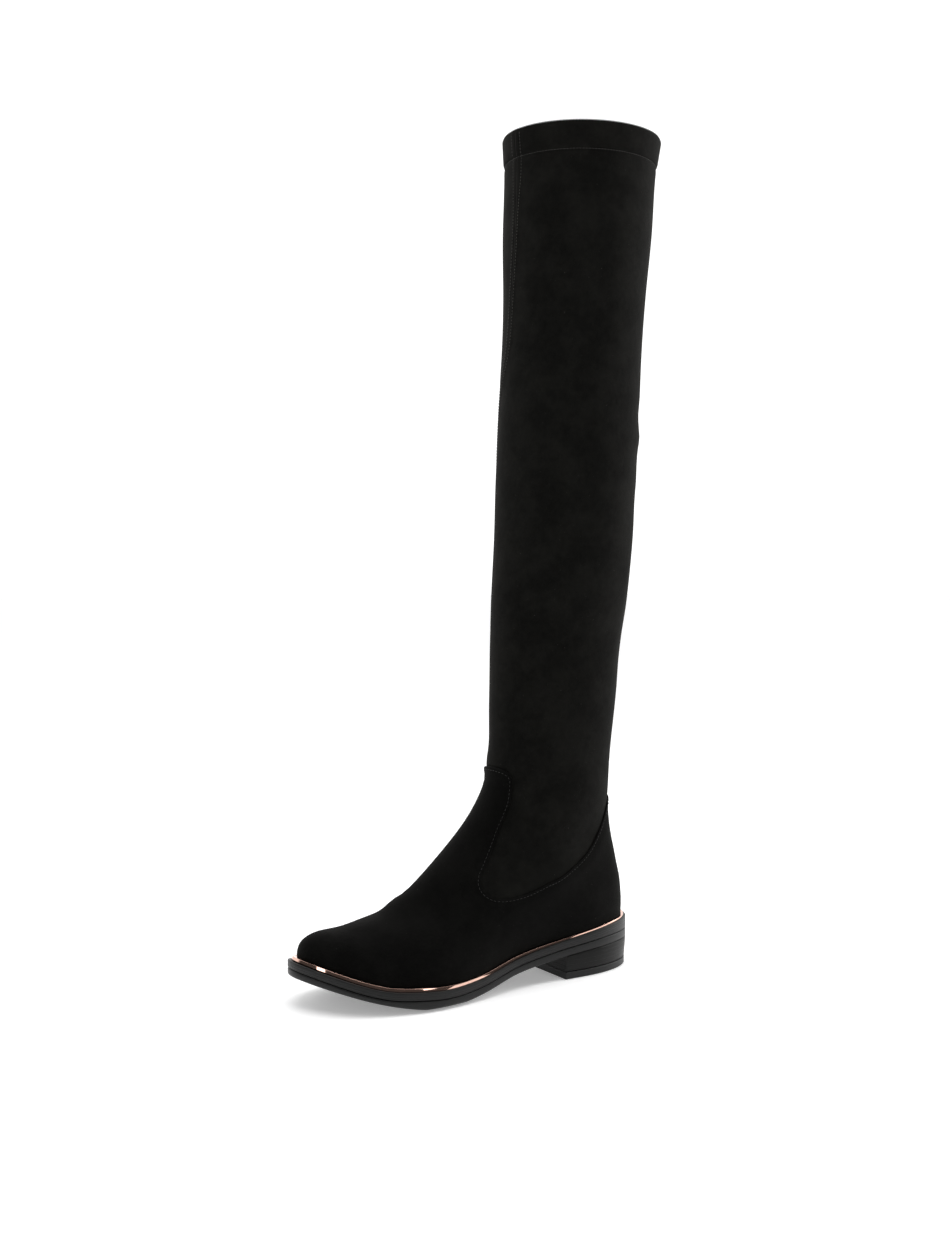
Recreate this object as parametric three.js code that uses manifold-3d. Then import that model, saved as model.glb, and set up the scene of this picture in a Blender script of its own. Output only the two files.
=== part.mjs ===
// A left thigh-high pull-on boot for a woman's foot, EU size 38: a suede foot part, a tall stretch
// shaft with a folded hem, a low stacked heel and a metal-faced trim band round the top of the sole.
// Millimetres, +Z up. The toe points along -Y, and +X is the outer side of the left foot.
import * as THREE from "three";
import { mergeVertices } from "three/addons/utils/BufferGeometryUtils.js";
import Module from "manifold-3d";

const wasm = await Module();
wasm.setup();

// Driving sizes of the sole and the heel
const SOLE_LENGTH = 264;
const BALL_WIDTH = 93;
const WAIST_WIDTH = 60;
const HEEL_SEAT_WIDTH = 61;
const HEEL_SEAT_HEIGHT = 35.5;
const BALL_TOP_HEIGHT = 12.6;
const TOE_TOP_HEIGHT = 31;
const WELT_THICKNESS = 5.2;
const SOLE_THICKNESS = 12.6;
const HEEL_LENGTH = 71;
const HEEL_TAPER = 1;
const HEEL_LIFT_THICKNESS = 5;
const GROOVE_DEPTH = 0.9;
const EDGE_BEVEL = 0.7;
const TREAD_EDGE_INSET = 9;
const TREAD_EDGE_HEIGHT = 3.3;
const HEEL_EDGE_ROLL = 0.08;

// Driving sizes of the foot part, the shaft and the trim
const ANKLE_HEIGHT = 151.5;
const ANKLE_DEPTH = 95.5;
const ANKLE_WIDTH = 73;
const TOP_HEIGHT = 598.5;
const TOP_DEPTH = 117;
const TOP_WIDTH = 108;
const ANKLE_SETBACK = 64.2;
const SHAFT_LEAN = 28.7;
const FOOT_WALL = 2;
const SHAFT_WALL = 1.2;
const HEM_HEIGHT = 19;
const HEM_WALL = 2.2;
const SHAFT_UNDERLAP = 8;
const TRIM_TOE_HEIGHT = 2;
const TRIM_HEEL_HEIGHT = 1;
const TRIM_HEEL_SETBACK = 0.8;
const TRIM_TOE_SETBACK = 1.9;
const TRIM_LIP = 0.8;
const INSOLE_THICKNESS = 3.2;
const CLEARANCE = 0.3;

// Where the ball of the foot lies, as a share of the sole's length from its heel end
const BALL_ALONG = 0.64;

// Facets round the boot and up its walls
const AROUND = 56;
const FOOT_RINGS = 18;
const SHAFT_RINGS = 12;
const HEEL_SIDE_FACETS = 14;
const SEAM_FACETS_PER_ROW = 3;

// The sole reaches as far to either side of y = 0
const HEEL_BACK_Y = SOLE_LENGTH / 2;

// A smooth curve through named knots: returns a function of the knot coordinate.
function curve(knots, values) {
  const last = knots.length - 1;
  const slope = (i) => {
    const a = Math.max(0, i - 1);
    const b = Math.min(last, i + 1);
    return (values[b] - values[a]) / (knots[b] - knots[a]);
  };
  return (at) => {
    const t = Math.min(Math.max(at, knots[0]), knots[last]);
    let i = 0;
    while (i < last - 1 && t > knots[i + 1]) i++;
    const span = knots[i + 1] - knots[i];
    const h = (t - knots[i]) / span;
    const h2 = h * h;
    const h3 = h2 * h;
    return (
      values[i] * (2 * h3 - 3 * h2 + 1) +
      slope(i) * span * (h3 - 2 * h2 + h) +
      values[i + 1] * (3 * h2 - 2 * h3) +
      slope(i + 1) * span * (h3 - h2)
    );
  };
}

// The plan of the sole, along its length from the heel (0) to the toe (1). "half" is the half width
// before the ends are rounded off, as a share of the width "of", and "drift" is how far the middle
// line leaves the straight axis towards the outer side, as a share of the ball width.
const SOLE_PLAN = [
  { at: 0.0, half: 0.9, of: HEEL_SEAT_WIDTH, drift: 0.0 },
  { at: 0.13, half: 0.762, of: HEEL_SEAT_WIDTH, drift: 0.002 },
  { at: 0.28, half: 0.59, of: HEEL_SEAT_WIDTH, drift: 0.014 },
  { at: 0.42, half: 0.52, of: WAIST_WIDTH, drift: 0.055 },
  { at: 0.56, half: 0.64, of: WAIST_WIDTH, drift: 0.062 },
  { at: 0.7, half: 0.545, of: BALL_WIDTH, drift: 0.027 },
  { at: 0.84, half: 0.613, of: BALL_WIDTH, drift: -0.018 },
  { at: 0.93, half: 0.634, of: BALL_WIDTH, drift: -0.06 },
  { at: 1.0, half: 0.585, of: BALL_WIDTH, drift: -0.098 },
];
const planKnots = SOLE_PLAN.map((row) => row.at);
const soleHalf = curve(planKnots, SOLE_PLAN.map((row) => row.half * row.of));
const soleDrift = curve(planKnots, SOLE_PLAN.map((row) => row.drift * BALL_WIDTH));

// The side view of the sole. The feather line is where the foot part meets it: "heel", "ball" and
// "toe" are the shares of those three named heights in it. "thick" is the sole's own depth below
// that line, as a share of its thickness: it passes the floor under the ball, where it is cut flat.
// "welt" is the depth of its upper layer, as a share of the welt's thickness.
const SOLE_PROFILE = [
  { at: 0.0, heel: 1.0, ball: 0.0, toe: 0.0, thick: 1.22, welt: 1.75 },
  { at: 0.12, heel: 0.94, ball: 0.0, toe: 0.0, thick: 1.04, welt: 1.4 },
  { at: 0.26, heel: 0.8, ball: 0.0, toe: 0.0, thick: 0.88, welt: 1.1 },
  { at: 0.42, heel: 0.37, ball: 0.7, toe: 0.0, thick: 0.95, welt: 1.0 },
  { at: 0.55, heel: 0.06, ball: 1.0, toe: 0.0, thick: 1.0, welt: 1.0 },
  { at: BALL_ALONG, heel: 0.0, ball: 1.0, toe: 0.0, thick: 1.07, welt: 1.05 },
  { at: 0.72, heel: 0.0, ball: 0.85, toe: 0.08, thick: 1.07, welt: 1.05 },
  { at: 0.84, heel: 0.0, ball: 0.6, toe: 0.29, thick: 0.85, welt: 1.0 },
  { at: 1.0, heel: 0.0, ball: 0.0, toe: 1.0, thick: 0.97, welt: 1.0 },
];
const profileKnots = SOLE_PROFILE.map((row) => row.at);
const featherHeight = curve(
  profileKnots,
  SOLE_PROFILE.map(
    (row) => row.heel * HEEL_SEAT_HEIGHT + row.ball * BALL_TOP_HEIGHT + row.toe * TOE_TOP_HEIGHT,
  ),
);
const soleDepth = curve(profileKnots, SOLE_PROFILE.map((row) => row.thick * SOLE_THICKNESS));
const weltDepth = curve(profileKnots, SOLE_PROFILE.map((row) => row.welt * WELT_THICKNESS));

// How far apart the points lie that give the run of a curve at one of its points
const TURN_STEP = 1e-3;
const RING_STEP = 2e-3;

// The share of the sole's length at turn angle t: 0 at the toe, half a turn at the heel.
const shareAt = (t) => (1 + Math.cos(t)) / 2;

// A point of the sole's edge at turn angle t, moved in from the edge.
function soleEdge(t, inset = 0) {
  const at = (angle) => {
    const s = shareAt(angle);
    return new THREE.Vector2(
      Math.sin(angle) * soleHalf(s) + soleDrift(s),
      HEEL_BACK_Y - SOLE_LENGTH * s,
    );
  };
  const along = at(t + TURN_STEP).sub(at(t - TURN_STEP)).normalize();
  return at(t).add(new THREE.Vector2(-along.y, along.x).multiplyScalar(inset));
}

// The rings of the boot's skin round the foot, each from a back point to a front point. "back" and
// "front" are how far those lie ahead of the sole's heel end, as shares of its length. "backUp" is
// the height over the heel seat and "frontUp" the height over the toe's feather line, as shares of
// the ankle height. "end" and "heel" are half widths as shares of the heel seat's width, "waist" as
// a share of the waist's, and "ball", "toe" and "tip" as shares of the ball's, before the ends are
// rounded off. "follow" is how much of the feather line's own rise and fall the ring keeps.
const FOOT_SECTIONS = [
  { back: 0.025, backUp: 0.0, front: 0.965, frontUp: -0.014, end: 0.8, heel: 0.645,
    waist: 0.4, ball: 0.463, toe: 0.54, tip: 0.51, follow: 1.0 },
  { back: 0.025, backUp: 0.034, front: 0.968, frontUp: 0.022, end: 0.83, heel: 0.67,
    waist: 0.447, ball: 0.475, toe: 0.555, tip: 0.52, follow: 1.02 },
  { back: 0.025, backUp: 0.08, front: 0.959, frontUp: 0.066, end: 0.835, heel: 0.685,
    waist: 0.5, ball: 0.476, toe: 0.535, tip: 0.495, follow: 1.05 },
  { back: 0.027, backUp: 0.13, front: 0.924, frontUp: 0.095, end: 0.83, heel: 0.67,
    waist: 0.545, ball: 0.455, toe: 0.49, tip: 0.455, follow: 1.0 },
  { back: 0.032, backUp: 0.19, front: 0.853, frontUp: 0.104, end: 0.824, heel: 0.65,
    waist: 0.555, ball: 0.42, toe: 0.446, tip: 0.42, follow: 0.85 },
  { back: 0.041, backUp: 0.255, front: 0.768, frontUp: 0.137, end: 0.785, heel: 0.627,
    waist: 0.562, ball: 0.38, toe: 0.39, tip: 0.376, follow: 0.6 },
  { back: 0.051, backUp: 0.325, front: 0.687, frontUp: 0.202, end: 0.752, heel: 0.603,
    waist: 0.562, ball: 0.353, toe: 0.35, tip: 0.344, follow: 0.35 },
  { back: 0.064, backUp: 0.41, front: 0.59, frontUp: 0.34, end: 0.706, heel: 0.578,
    waist: 0.555, ball: 0.337, toe: 0.333, tip: 0.33, follow: 0.1 },
  { back: 0.073, backUp: 0.5, front: 0.486, frontUp: 0.525, end: 0.665, heel: 0.56,
    waist: 0.545, ball: 0.333, toe: 0.328, tip: 0.325, follow: 0.0 },
  { back: 0.067, backUp: 0.62, front: 0.428, frontUp: 0.69, end: 0.623, heel: 0.557,
    waist: 0.555, ball: 0.347, toe: 0.344, tip: 0.339, follow: 0.0 },
];

// The rings of the shaft, up from the ankle (0) to the top (1). "depth" and "width" run from the
// ankle's size (0) to the top's (1), and "lean" is the share of the backward lean reached.
const SHAFT_SECTIONS = [
  { up: 0.0, depth: 0.0, width: 0.0, lean: 0.0 },
  { up: 0.035, depth: -0.06, width: 0.06, lean: 0.06 },
  { up: 0.097, depth: 0.05, width: 0.17, lean: 0.122 },
  { up: 0.194, depth: 0.166, width: 0.34, lean: 0.22 },
  { up: 0.258, depth: 0.293, width: 0.49, lean: 0.317 },
  { up: 0.357, depth: 0.33, width: 0.62, lean: 0.444 },
  { up: 0.453, depth: 0.349, width: 0.7, lean: 0.512 },
  { up: 0.536, depth: 0.381, width: 0.72, lean: 0.595 },
  { up: 0.648, depth: 0.344, width: 0.71, lean: 0.697 },
  { up: 0.746, depth: 0.442, width: 0.78, lean: 0.78 },
  { up: 0.845, depth: 0.656, width: 0.88, lean: 0.864 },
  { up: 0.941, depth: 0.744, width: 0.92, lean: 0.94 },
  { up: 1.0, depth: 1.0, width: 1.0, lean: 1.0 },
];

const ANKLE_CENTRE_Y = HEEL_BACK_Y - ANKLE_SETBACK;

// Where along a ring, from its back (0) to its front (1), each named half width lies, and the width
// that it is a share of
const HALF_KNOTS = [
  { name: "end", at: 0.0, of: HEEL_SEAT_WIDTH },
  { name: "heel", at: 0.13, of: HEEL_SEAT_WIDTH },
  { name: "waist", at: 0.42, of: WAIST_WIDTH },
  { name: "ball", at: 0.7, of: BALL_WIDTH },
  { name: "toe", at: 0.88, of: BALL_WIDTH },
  { name: "tip", at: 1.0, of: BALL_WIDTH },
];

// Both tables as rings of real sizes, from the feather line (0) up to the top of the shaft.
const RINGS = [
  ...FOOT_SECTIONS.map((row) => ({
    backY: HEEL_BACK_Y - SOLE_LENGTH * row.back,
    frontY: HEEL_BACK_Y - SOLE_LENGTH * row.front,
    backZ: featherHeight(row.back) + ANKLE_HEIGHT * row.backUp,
    frontZ: TOE_TOP_HEIGHT + ANKLE_HEIGHT * row.frontUp,
    halves: HALF_KNOTS.map((knot) => knot.of * row[knot.name]),
    follow: row.follow,
  })),
  ...SHAFT_SECTIONS.map((row) => {
    const depth = ANKLE_DEPTH + (TOP_DEPTH - ANKLE_DEPTH) * row.depth;
    const width = ANKLE_WIDTH + (TOP_WIDTH - ANKLE_WIDTH) * row.width;
    const centre = ANKLE_CENTRE_Y + SHAFT_LEAN * row.lean;
    const height = ANKLE_HEIGHT + (TOP_HEIGHT - ANKLE_HEIGHT) * row.up;
    return {
      backY: centre + depth / 2,
      frontY: centre - depth / 2,
      backZ: height,
      frontZ: height,
      halves: HALF_KNOTS.map(() => width / 2),
      follow: 0,
    };
  }),
];
const ANKLE_RING = FOOT_SECTIONS.length;
const TOP_RING = RINGS.length - 1;
const FIRST_RING_RISE = RINGS[1].backZ - RINGS[0].backZ;

// The rings between which the foot part and the shaft may both make the wall
const LOWEST_SHAFT_RING = 4.9;
const HIGHEST_FOOT_RING = ANKLE_RING + 0.4;

const ringIndex = RINGS.map((_, i) => i);
const ringColumn = (read) => curve(ringIndex, RINGS.map(read));
const backY = ringColumn((r) => r.backY);
const frontY = ringColumn((r) => r.frontY);
const backZ = ringColumn((r) => r.backZ);
const frontZ = ringColumn((r) => r.frontZ);
const follow = ringColumn((r) => r.follow);
const halves = HALF_KNOTS.map((_, i) => ringColumn((r) => r.halves[i]));
const halfAt = HALF_KNOTS.map((knot) => knot.at);

// The share of the sole's length that lies between its heel end and y.
const stationOf = (y) => (HEEL_BACK_Y - y) / SOLE_LENGTH;

// How far the feather line stands over the straight line from its heel end to its toe end.
const featherSag = (y) => {
  const station = stationOf(y);
  return featherHeight(station) - HEEL_SEAT_HEIGHT * (1 - station) - TOE_TOP_HEIGHT * station;
};

// A point of the boot's skin at ring v and turn angle t: the outer face of the shaft, which the foot
// part covers below.
function skin(t, v) {
  const s = shareAt(t);
  const [back, front] = [backY(v), frontY(v)];
  const y = back + (front - back) * s;
  const half = curve(halfAt, halves.map((read) => read(v)))(s);
  const sag = featherSag(y) - featherSag(back) * (1 - s) - featherSag(front) * s;
  return new THREE.Vector3(
    Math.sin(t) * half + soleDrift(s) * Math.max(0, 1 - v / ANKLE_RING),
    y,
    backZ(v) + (frontZ(v) - backZ(v)) * s + follow(v) * sag,
  );
}

// The skin moved out along its normal. The lowest ring moves out level and keeps to the feather line.
function skinOffset(t, v, offset) {
  const up =
    v > 0
      ? skin(t, Math.min(TOP_RING, v + RING_STEP)).sub(skin(t, Math.max(0, v - RING_STEP)))
      : new THREE.Vector3(0, 0, 1);
  const round = skin(t + TURN_STEP, v).sub(skin(t - TURN_STEP, v));
  const p = skin(t, v).add(round.cross(up).normalize().multiplyScalar(offset));
  if (v === 0) p.z = featherHeight(stationOf(p.y));
  return p;
}

// A closed solid out of its points and faces
function solidOf(points, faces) {
  const flat = new Float32Array(points.flatMap((p) => [p.x, p.y, p.z]));
  const geometry = new THREE.BufferGeometry();
  geometry.setAttribute("position", new THREE.BufferAttribute(flat, 3));
  geometry.setIndex(faces.flat());
  return manifoldOf(geometry);
}

// A geometry with its shared corners merged, as a solid that can be cut
function manifoldOf(geometry) {
  const bare = geometry.clone();
  bare.deleteAttribute("normal");
  bare.deleteAttribute("uv");
  const merged = mergeVertices(bare, 1e-4);
  const mesh = new wasm.Mesh({
    numProp: 3,
    vertProperties: new Float32Array(merged.attributes.position.array),
    triVerts: new Uint32Array(merged.index.array),
  });
  return new wasm.Manifold(mesh);
}

// The faces between neighbouring rings of a grid of points
function bandFaces(ringPairs, count) {
  return ringPairs.flatMap(([low, high]) =>
    Array.from({ length: count }, (_, i) => {
      const j = (i + 1) % count;
      return [
        [low * count + i, low * count + j, high * count + j],
        [low * count + i, high * count + j, high * count + i],
      ];
    }).flat(),
  );
}

// Joins rings of points round a tube's section, the last one to the first.
function tubeSolid(rings) {
  const pairs = rings.map((_, r) => [r, (r + 1) % rings.length]);
  return solidOf(rings.flat(), bandFaces(pairs, rings[0].length));
}

// Joins rings into a skin, and closes its first and last ring with strips straight across. "across"
// gives the place in a ring that lies opposite place i.
function stackSolid(rings, across) {
  const count = rings[0].length;
  const pairs = rings.slice(1).map((_, r) => [r, r + 1]);
  const lid = (ring) => {
    const corner = (i) => ring * count + ((i + count) % count);
    return Array.from({ length: Math.floor(count / 2) }, (_, i) => {
      const [a, b] = [corner(i), corner(i + 1)];
      const [c, d] = [corner(across(i)), corner(across(i + 1))];
      return [[a, b, d], [a, d, c]].filter((face) => new Set(face).size === 3);
    }).flat();
  };
  const under = lid(0).map((face) => face.reverse());
  const over = lid(rings.length - 1);
  return solidOf(rings.flat(), [...bandFaces(pairs, count), ...under, ...over]);
}

const turns = (count) => Array.from({ length: count }, (_, i) => (2 * Math.PI * i) / count);
const steps = (from, to, count) =>
  Array.from({ length: count + 1 }, (_, i) => from + ((to - from) * i) / count);

// The side view of the seam between the foot part and the shaft. "along" is the distance ahead of
// the sole's heel end as a share of its length, and "up" is the height as a share of the ankle's.
const SEAM_LINE = [
  { along: 0.53, up: 0.985 },
  { along: 0.45, up: 0.985 },
  { along: 0.427, up: 0.977 },
  { along: 0.413, up: 0.955 },
  { along: 0.407, up: 0.92 },
  { along: 0.413, up: 0.86 },
  { along: 0.426, up: 0.8 },
  { along: 0.45, up: 0.73 },
  { along: 0.478, up: 0.647 },
  { along: 0.508, up: 0.564 },
  { along: 0.526, up: 0.513 },
  { along: 0.526, up: 0.463 },
  { along: 0.5, up: 0.426 },
  { along: 0.45, up: 0.422 },
  { along: 0.396, up: 0.436 },
  { along: 0.341, up: 0.462 },
  { along: 0.284, up: 0.488 },
  { along: 0.197, up: 0.568 },
  { along: 0.144, up: 0.658 },
  { along: 0.114, up: 0.722 },
  { along: 0.09, up: 0.785 },
  { along: 0.07, up: 0.81 },
  { along: 0.0, up: 0.812 },
];

// A block that holds everything below the seam line.
function belowSeam() {
  const line = new THREE.SplineCurve(
    SEAM_LINE.map(
      (p) => new THREE.Vector2(HEEL_BACK_Y - SOLE_LENGTH * p.along, ANKLE_HEIGHT * p.up),
    ),
  ).getPoints(SEAM_FACETS_PER_ROW * SEAM_LINE.length);
  const reach = SOLE_LENGTH;
  const shape = new THREE.Shape([
    new THREE.Vector2(HEEL_BACK_Y + reach, line.at(-1).y),
    new THREE.Vector2(HEEL_BACK_Y + reach, -reach),
    new THREE.Vector2(HEEL_BACK_Y - 2 * reach, -reach),
    new THREE.Vector2(HEEL_BACK_Y - 2 * reach, line[0].y),
    ...line,
  ]);
  const block = new THREE.ExtrudeGeometry(shape, { depth: 2 * reach, bevelEnabled: false });
  block.translate(0, 0, -reach);
  block.rotateX(Math.PI / 2);
  block.rotateZ(Math.PI / 2);
  return manifoldOf(block);
}

// The same block drawn in by a margin all along the seam line, to each of eight sides.
function wellBelowSeam(margin) {
  const sides = 8;
  const block = belowSeam();
  return turns(sides)
    .map((t) => block.translate([0, margin * Math.cos(t), margin * Math.sin(t)]))
    .reduce((kept, moved) => kept.intersect(moved));
}

// A hollow wall of the boot between two offsets of its skin.
function wall(rings, inner, outer) {
  const loop = (v, offset) => turns(AROUND).map((t) => skinOffset(t, v, offset(v)));
  return tubeSolid([
    ...rings.map((v) => loop(v, outer)),
    ...[...rings].reverse().map((v) => loop(v, inner)),
  ]);
}

const footRings = steps(0, HIGHEST_FOOT_RING, FOOT_RINGS);

// The foot part: one suede wall from the feather line up to the seam, open at both.
function footPart() {
  const inner = () => CLEARANCE;
  const outer = () => CLEARANCE + FOOT_WALL;
  const raw = wall(footRings, inner, outer).translate([0, 0, CLEARANCE]);
  return raw.intersect(belowSeam());
}

// The shaft: one stretch wall from its underlap inside the foot part up to the folded hem.
function shaft() {
  const hemUp = 1 - HEM_HEIGHT / (TOP_HEIGHT - ANKLE_HEIGHT);
  const lastUp = SHAFT_SECTIONS.at(-2).up;
  const hemRing = TOP_RING - 1 + (hemUp - lastUp) / (1 - lastUp);
  const hemStep = 0.04;
  const foot = footRings.filter((v) => v > LOWEST_SHAFT_RING);
  const rings = [
    ...foot,
    ...steps(foot.at(-1), hemRing, SHAFT_RINGS).slice(1),
    hemRing + hemStep,
    TOP_RING,
  ];
  const outer = (v) => (v > hemRing ? (HEM_WALL - SHAFT_WALL) / 2 : 0);
  const inner = (v) => (v > hemRing ? -(HEM_WALL + SHAFT_WALL) / 2 : -SHAFT_WALL);
  const raw = wall(rings, inner, outer);
  return raw.subtract(wellBelowSeam(SHAFT_UNDERLAP));
}

// A loop of the sole's edge, drawn in by an inset, at a height that follows the feather line.
function soleLoop(inset, height) {
  return turns(AROUND).map((t) => {
    const s = shareAt(t);
    const p = soleEdge(t, typeof inset === "function" ? inset(s) : inset);
    return new THREE.Vector3(p.x, p.y, height(s));
  });
}

const weltBottom = (s) => featherHeight(s) - weltDepth(s);
const soleBottom = (s) => Math.max(0, featherHeight(s) - soleDepth(s));

// In a ring that starts at the toe's tip, and in one that starts at the breast of the heel, the
// place straight across
const acrossSole = (i) => -i;
const acrossHeel = (i) => -1 - i;

// The upper layer of the sole's edge, bevelled over a groove.
function welt() {
  const rings = [
    soleLoop(GROOVE_DEPTH, weltBottom),
    soleLoop(0, (s) => weltBottom(s) + GROOVE_DEPTH),
    soleLoop(0, (s) => featherHeight(s) - EDGE_BEVEL),
    soleLoop(EDGE_BEVEL, featherHeight),
  ];
  return stackSolid(rings, acrossSole);
}

// The tread layer, with its flat spot under the ball of the foot. Its lower edge is rolled ahead of
// the waist, and nearly square over the heel.
function outsole() {
  const top = (s) => weltBottom(s) - CLEARANCE;
  const heel = HEEL_LENGTH / SOLE_LENGTH;
  const roll = curve([0, heel, (heel + BALL_ALONG) / 2, 1], [HEEL_EDGE_ROLL, HEEL_EDGE_ROLL, 1, 1]);
  const rolled = [0, Math.PI / 6, Math.PI / 3, Math.PI / 2].map((turn) =>
    soleLoop(
      (s) => TREAD_EDGE_INSET * roll(s) * (1 - Math.sin(turn)),
      (s) => soleBottom(s) + TREAD_EDGE_HEIGHT * roll(s) * (1 - Math.cos(turn)),
    ),
  );
  const rings = [
    ...rolled,
    soleLoop(0, (s) => top(s) - GROOVE_DEPTH),
    soleLoop(GROOVE_DEPTH, top),
  ];
  return stackSolid(rings, acrossSole);
}

// One level of the heel: the sole's edge behind the breast line, closed straight across.
function heelLoop(inset, height) {
  const breast = Math.acos(2 * (HEEL_LENGTH / SOLE_LENGTH) - 1);
  const side = steps(breast, Math.PI, HEEL_SIDE_FACETS);
  const mirrored = side.slice(0, -1).reverse().map((t) => 2 * Math.PI - t);
  return [...side, ...mirrored].map((t) => {
    const p = soleEdge(t, inset);
    const y = Math.max(p.y, HEEL_BACK_Y - HEEL_LENGTH);
    return new THREE.Vector3(p.x, y, height(shareAt(t)));
  });
}

// The heel block, grooved where it meets the sole and the top piece.
function heelBlock() {
  const top = (s) => soleBottom(s) - CLEARANCE;
  const bottom = () => HEEL_LIFT_THICKNESS + CLEARANCE;
  const rings = [
    heelLoop(HEEL_TAPER + GROOVE_DEPTH, bottom),
    heelLoop(HEEL_TAPER, () => bottom() + GROOVE_DEPTH),
    heelLoop(0, (s) => top(s) - GROOVE_DEPTH),
    heelLoop(GROOVE_DEPTH, top),
  ];
  return stackSolid(rings, acrossHeel);
}

// The heel's top piece, which stands on the floor.
function heelLift() {
  const rings = [
    heelLoop(HEEL_TAPER + EDGE_BEVEL, () => 0),
    heelLoop(HEEL_TAPER, () => EDGE_BEVEL),
    heelLoop(HEEL_TAPER, () => HEEL_LIFT_THICKNESS),
  ];
  return stackSolid(rings, acrossHeel);
}

// The point at turn angle t that stands clear of the foot part's outer face, at a height over the
// feather line.
function besideWall(t, up) {
  const column = footRings.map((v) => skinOffset(t, v, 2 * CLEARANCE + FOOT_WALL));
  const height = column[0].z + up;
  const above = column.findIndex((p) => p.z > height);
  const [low, high] = [column[above - 1], column[above]];
  return low.clone().lerp(high, (height - low.z) / (high.z - low.z));
}

// The trim band: a metal-faced strip that lies on the welt and rises a little towards the foot part.
// It thins from the ball of the foot to the heel, and stands back from the welt's edge at the toe.
function trimBand() {
  const heel = HEEL_LENGTH / SOLE_LENGTH;
  const rise = curve([heel, BALL_ALONG], [TRIM_HEEL_HEIGHT, TRIM_TOE_HEIGHT]);
  const setback = curve([BALL_ALONG, 1], [TRIM_HEEL_SETBACK, TRIM_TOE_SETBACK]);
  const outer = (share) =>
    soleLoop(
      (s) => EDGE_BEVEL + setback(s),
      (s) => featherHeight(s) + CLEARANCE + rise(s) * share,
    );
  const inner = (share) =>
    turns(AROUND).map((t) => besideWall(t, CLEARANCE + rise(shareAt(t)) * share));
  return tubeSolid([outer(0), outer(TRIM_LIP), inner(1), inner(0)]);
}

// The insole: a board that closes the foot part underneath.
function insole() {
  const loop = (inset, up) =>
    turns(AROUND).map((t) => {
      const p = skinOffset(t, up / FIRST_RING_RISE, -inset);
      return new THREE.Vector3(p.x, p.y, featherHeight(stationOf(p.y)) + CLEARANCE + up);
    });
  const rings = [
    loop(0, 0),
    loop(0, INSOLE_THICKNESS - EDGE_BEVEL),
    loop(EDGE_BEVEL, INSOLE_THICKNESS),
  ];
  return stackSolid(rings, acrossSole);
}

// Materials
const suede = new THREE.MeshStandardMaterial({ color: 0x141413, roughness: 0.95 });
const stretch = new THREE.MeshStandardMaterial({ color: 0x161615, roughness: 0.92 });
const rubber = new THREE.MeshStandardMaterial({ color: 0x1d1e1e, roughness: 0.55 });
const stack = new THREE.MeshStandardMaterial({ color: 0x1f1f1d, roughness: 0.5 });
const copper = new THREE.MeshStandardMaterial({ color: 0xc98f74, roughness: 0.12, metalness: 1 });
const sock = new THREE.MeshStandardMaterial({ color: 0x2a2725, roughness: 0.9 });

// One named mesh of the assembly
function piece(name, solid, material) {
  const { vertProperties, triVerts, numProp } = solid.getMesh();
  const flat = new Float32Array((vertProperties.length / numProp) * 3);
  for (let i = 0; i < flat.length / 3; i++) {
    flat.set(vertProperties.subarray(i * numProp, i * numProp + 3), i * 3);
  }
  const geometry = new THREE.BufferGeometry();
  geometry.setAttribute("position", new THREE.BufferAttribute(flat, 3));
  geometry.setIndex(new THREE.BufferAttribute(triVerts, 1));
  geometry.computeVertexNormals();
  const mesh = new THREE.Mesh(geometry, material);
  mesh.name = name;
  return mesh;
}

const boot = new THREE.Group();
boot.add(
  piece("foot_upper", footPart(), suede),
  piece("shaft", shaft(), stretch),
  piece("trim_band", trimBand(), copper),
  piece("welt", welt(), rubber),
  piece("outsole", outsole(), rubber),
  piece("heel_block", heelBlock(), stack),
  piece("heel_lift", heelLift(), rubber),
  piece("insole", insole(), sock),
);

// The origin is the middle of the boot's own box, on the floor.
const box = new THREE.Box3().setFromObject(boot);
const middle = box.getCenter(new THREE.Vector3());
boot.position.set(-middle.x, -middle.y, -box.min.z);

export default boot;
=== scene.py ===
"""Looks of a left thigh-high boot: napped suede, a stretch shaft, satin rubber, metal-faced trim.

Lengths are in metres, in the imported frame: +Z is up, the toe points along -Y, and +X is the outer
side of the left foot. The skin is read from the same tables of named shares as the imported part.
"""
import logging
import math
from dataclasses import dataclass, field
from enum import Enum
from functools import cached_property
from typing import Callable, NamedTuple, Optional, Sequence

import bmesh
import bpy
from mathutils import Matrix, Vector, noise


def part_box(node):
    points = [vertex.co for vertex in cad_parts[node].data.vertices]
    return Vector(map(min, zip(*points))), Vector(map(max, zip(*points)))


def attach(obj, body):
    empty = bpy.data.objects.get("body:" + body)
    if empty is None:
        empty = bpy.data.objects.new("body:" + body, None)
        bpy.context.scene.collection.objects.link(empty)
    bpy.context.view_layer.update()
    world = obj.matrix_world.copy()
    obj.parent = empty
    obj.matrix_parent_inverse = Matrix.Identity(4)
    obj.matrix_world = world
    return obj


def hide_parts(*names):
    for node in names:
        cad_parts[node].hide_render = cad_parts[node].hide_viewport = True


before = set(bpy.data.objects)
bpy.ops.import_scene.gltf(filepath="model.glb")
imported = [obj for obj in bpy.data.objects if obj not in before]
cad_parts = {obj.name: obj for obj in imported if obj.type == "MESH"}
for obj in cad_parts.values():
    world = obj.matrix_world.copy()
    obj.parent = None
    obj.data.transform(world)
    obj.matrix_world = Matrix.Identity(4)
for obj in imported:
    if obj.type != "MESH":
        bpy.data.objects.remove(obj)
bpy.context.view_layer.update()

log = logging.getLogger("boot")
MM = 0.001
FULL_TURN = 2 * math.pi
WHITE = (1.0, 1.0, 1.0, 1.0)
Material = bpy.types.Material
BMesh = bmesh.types.BMesh
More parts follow.
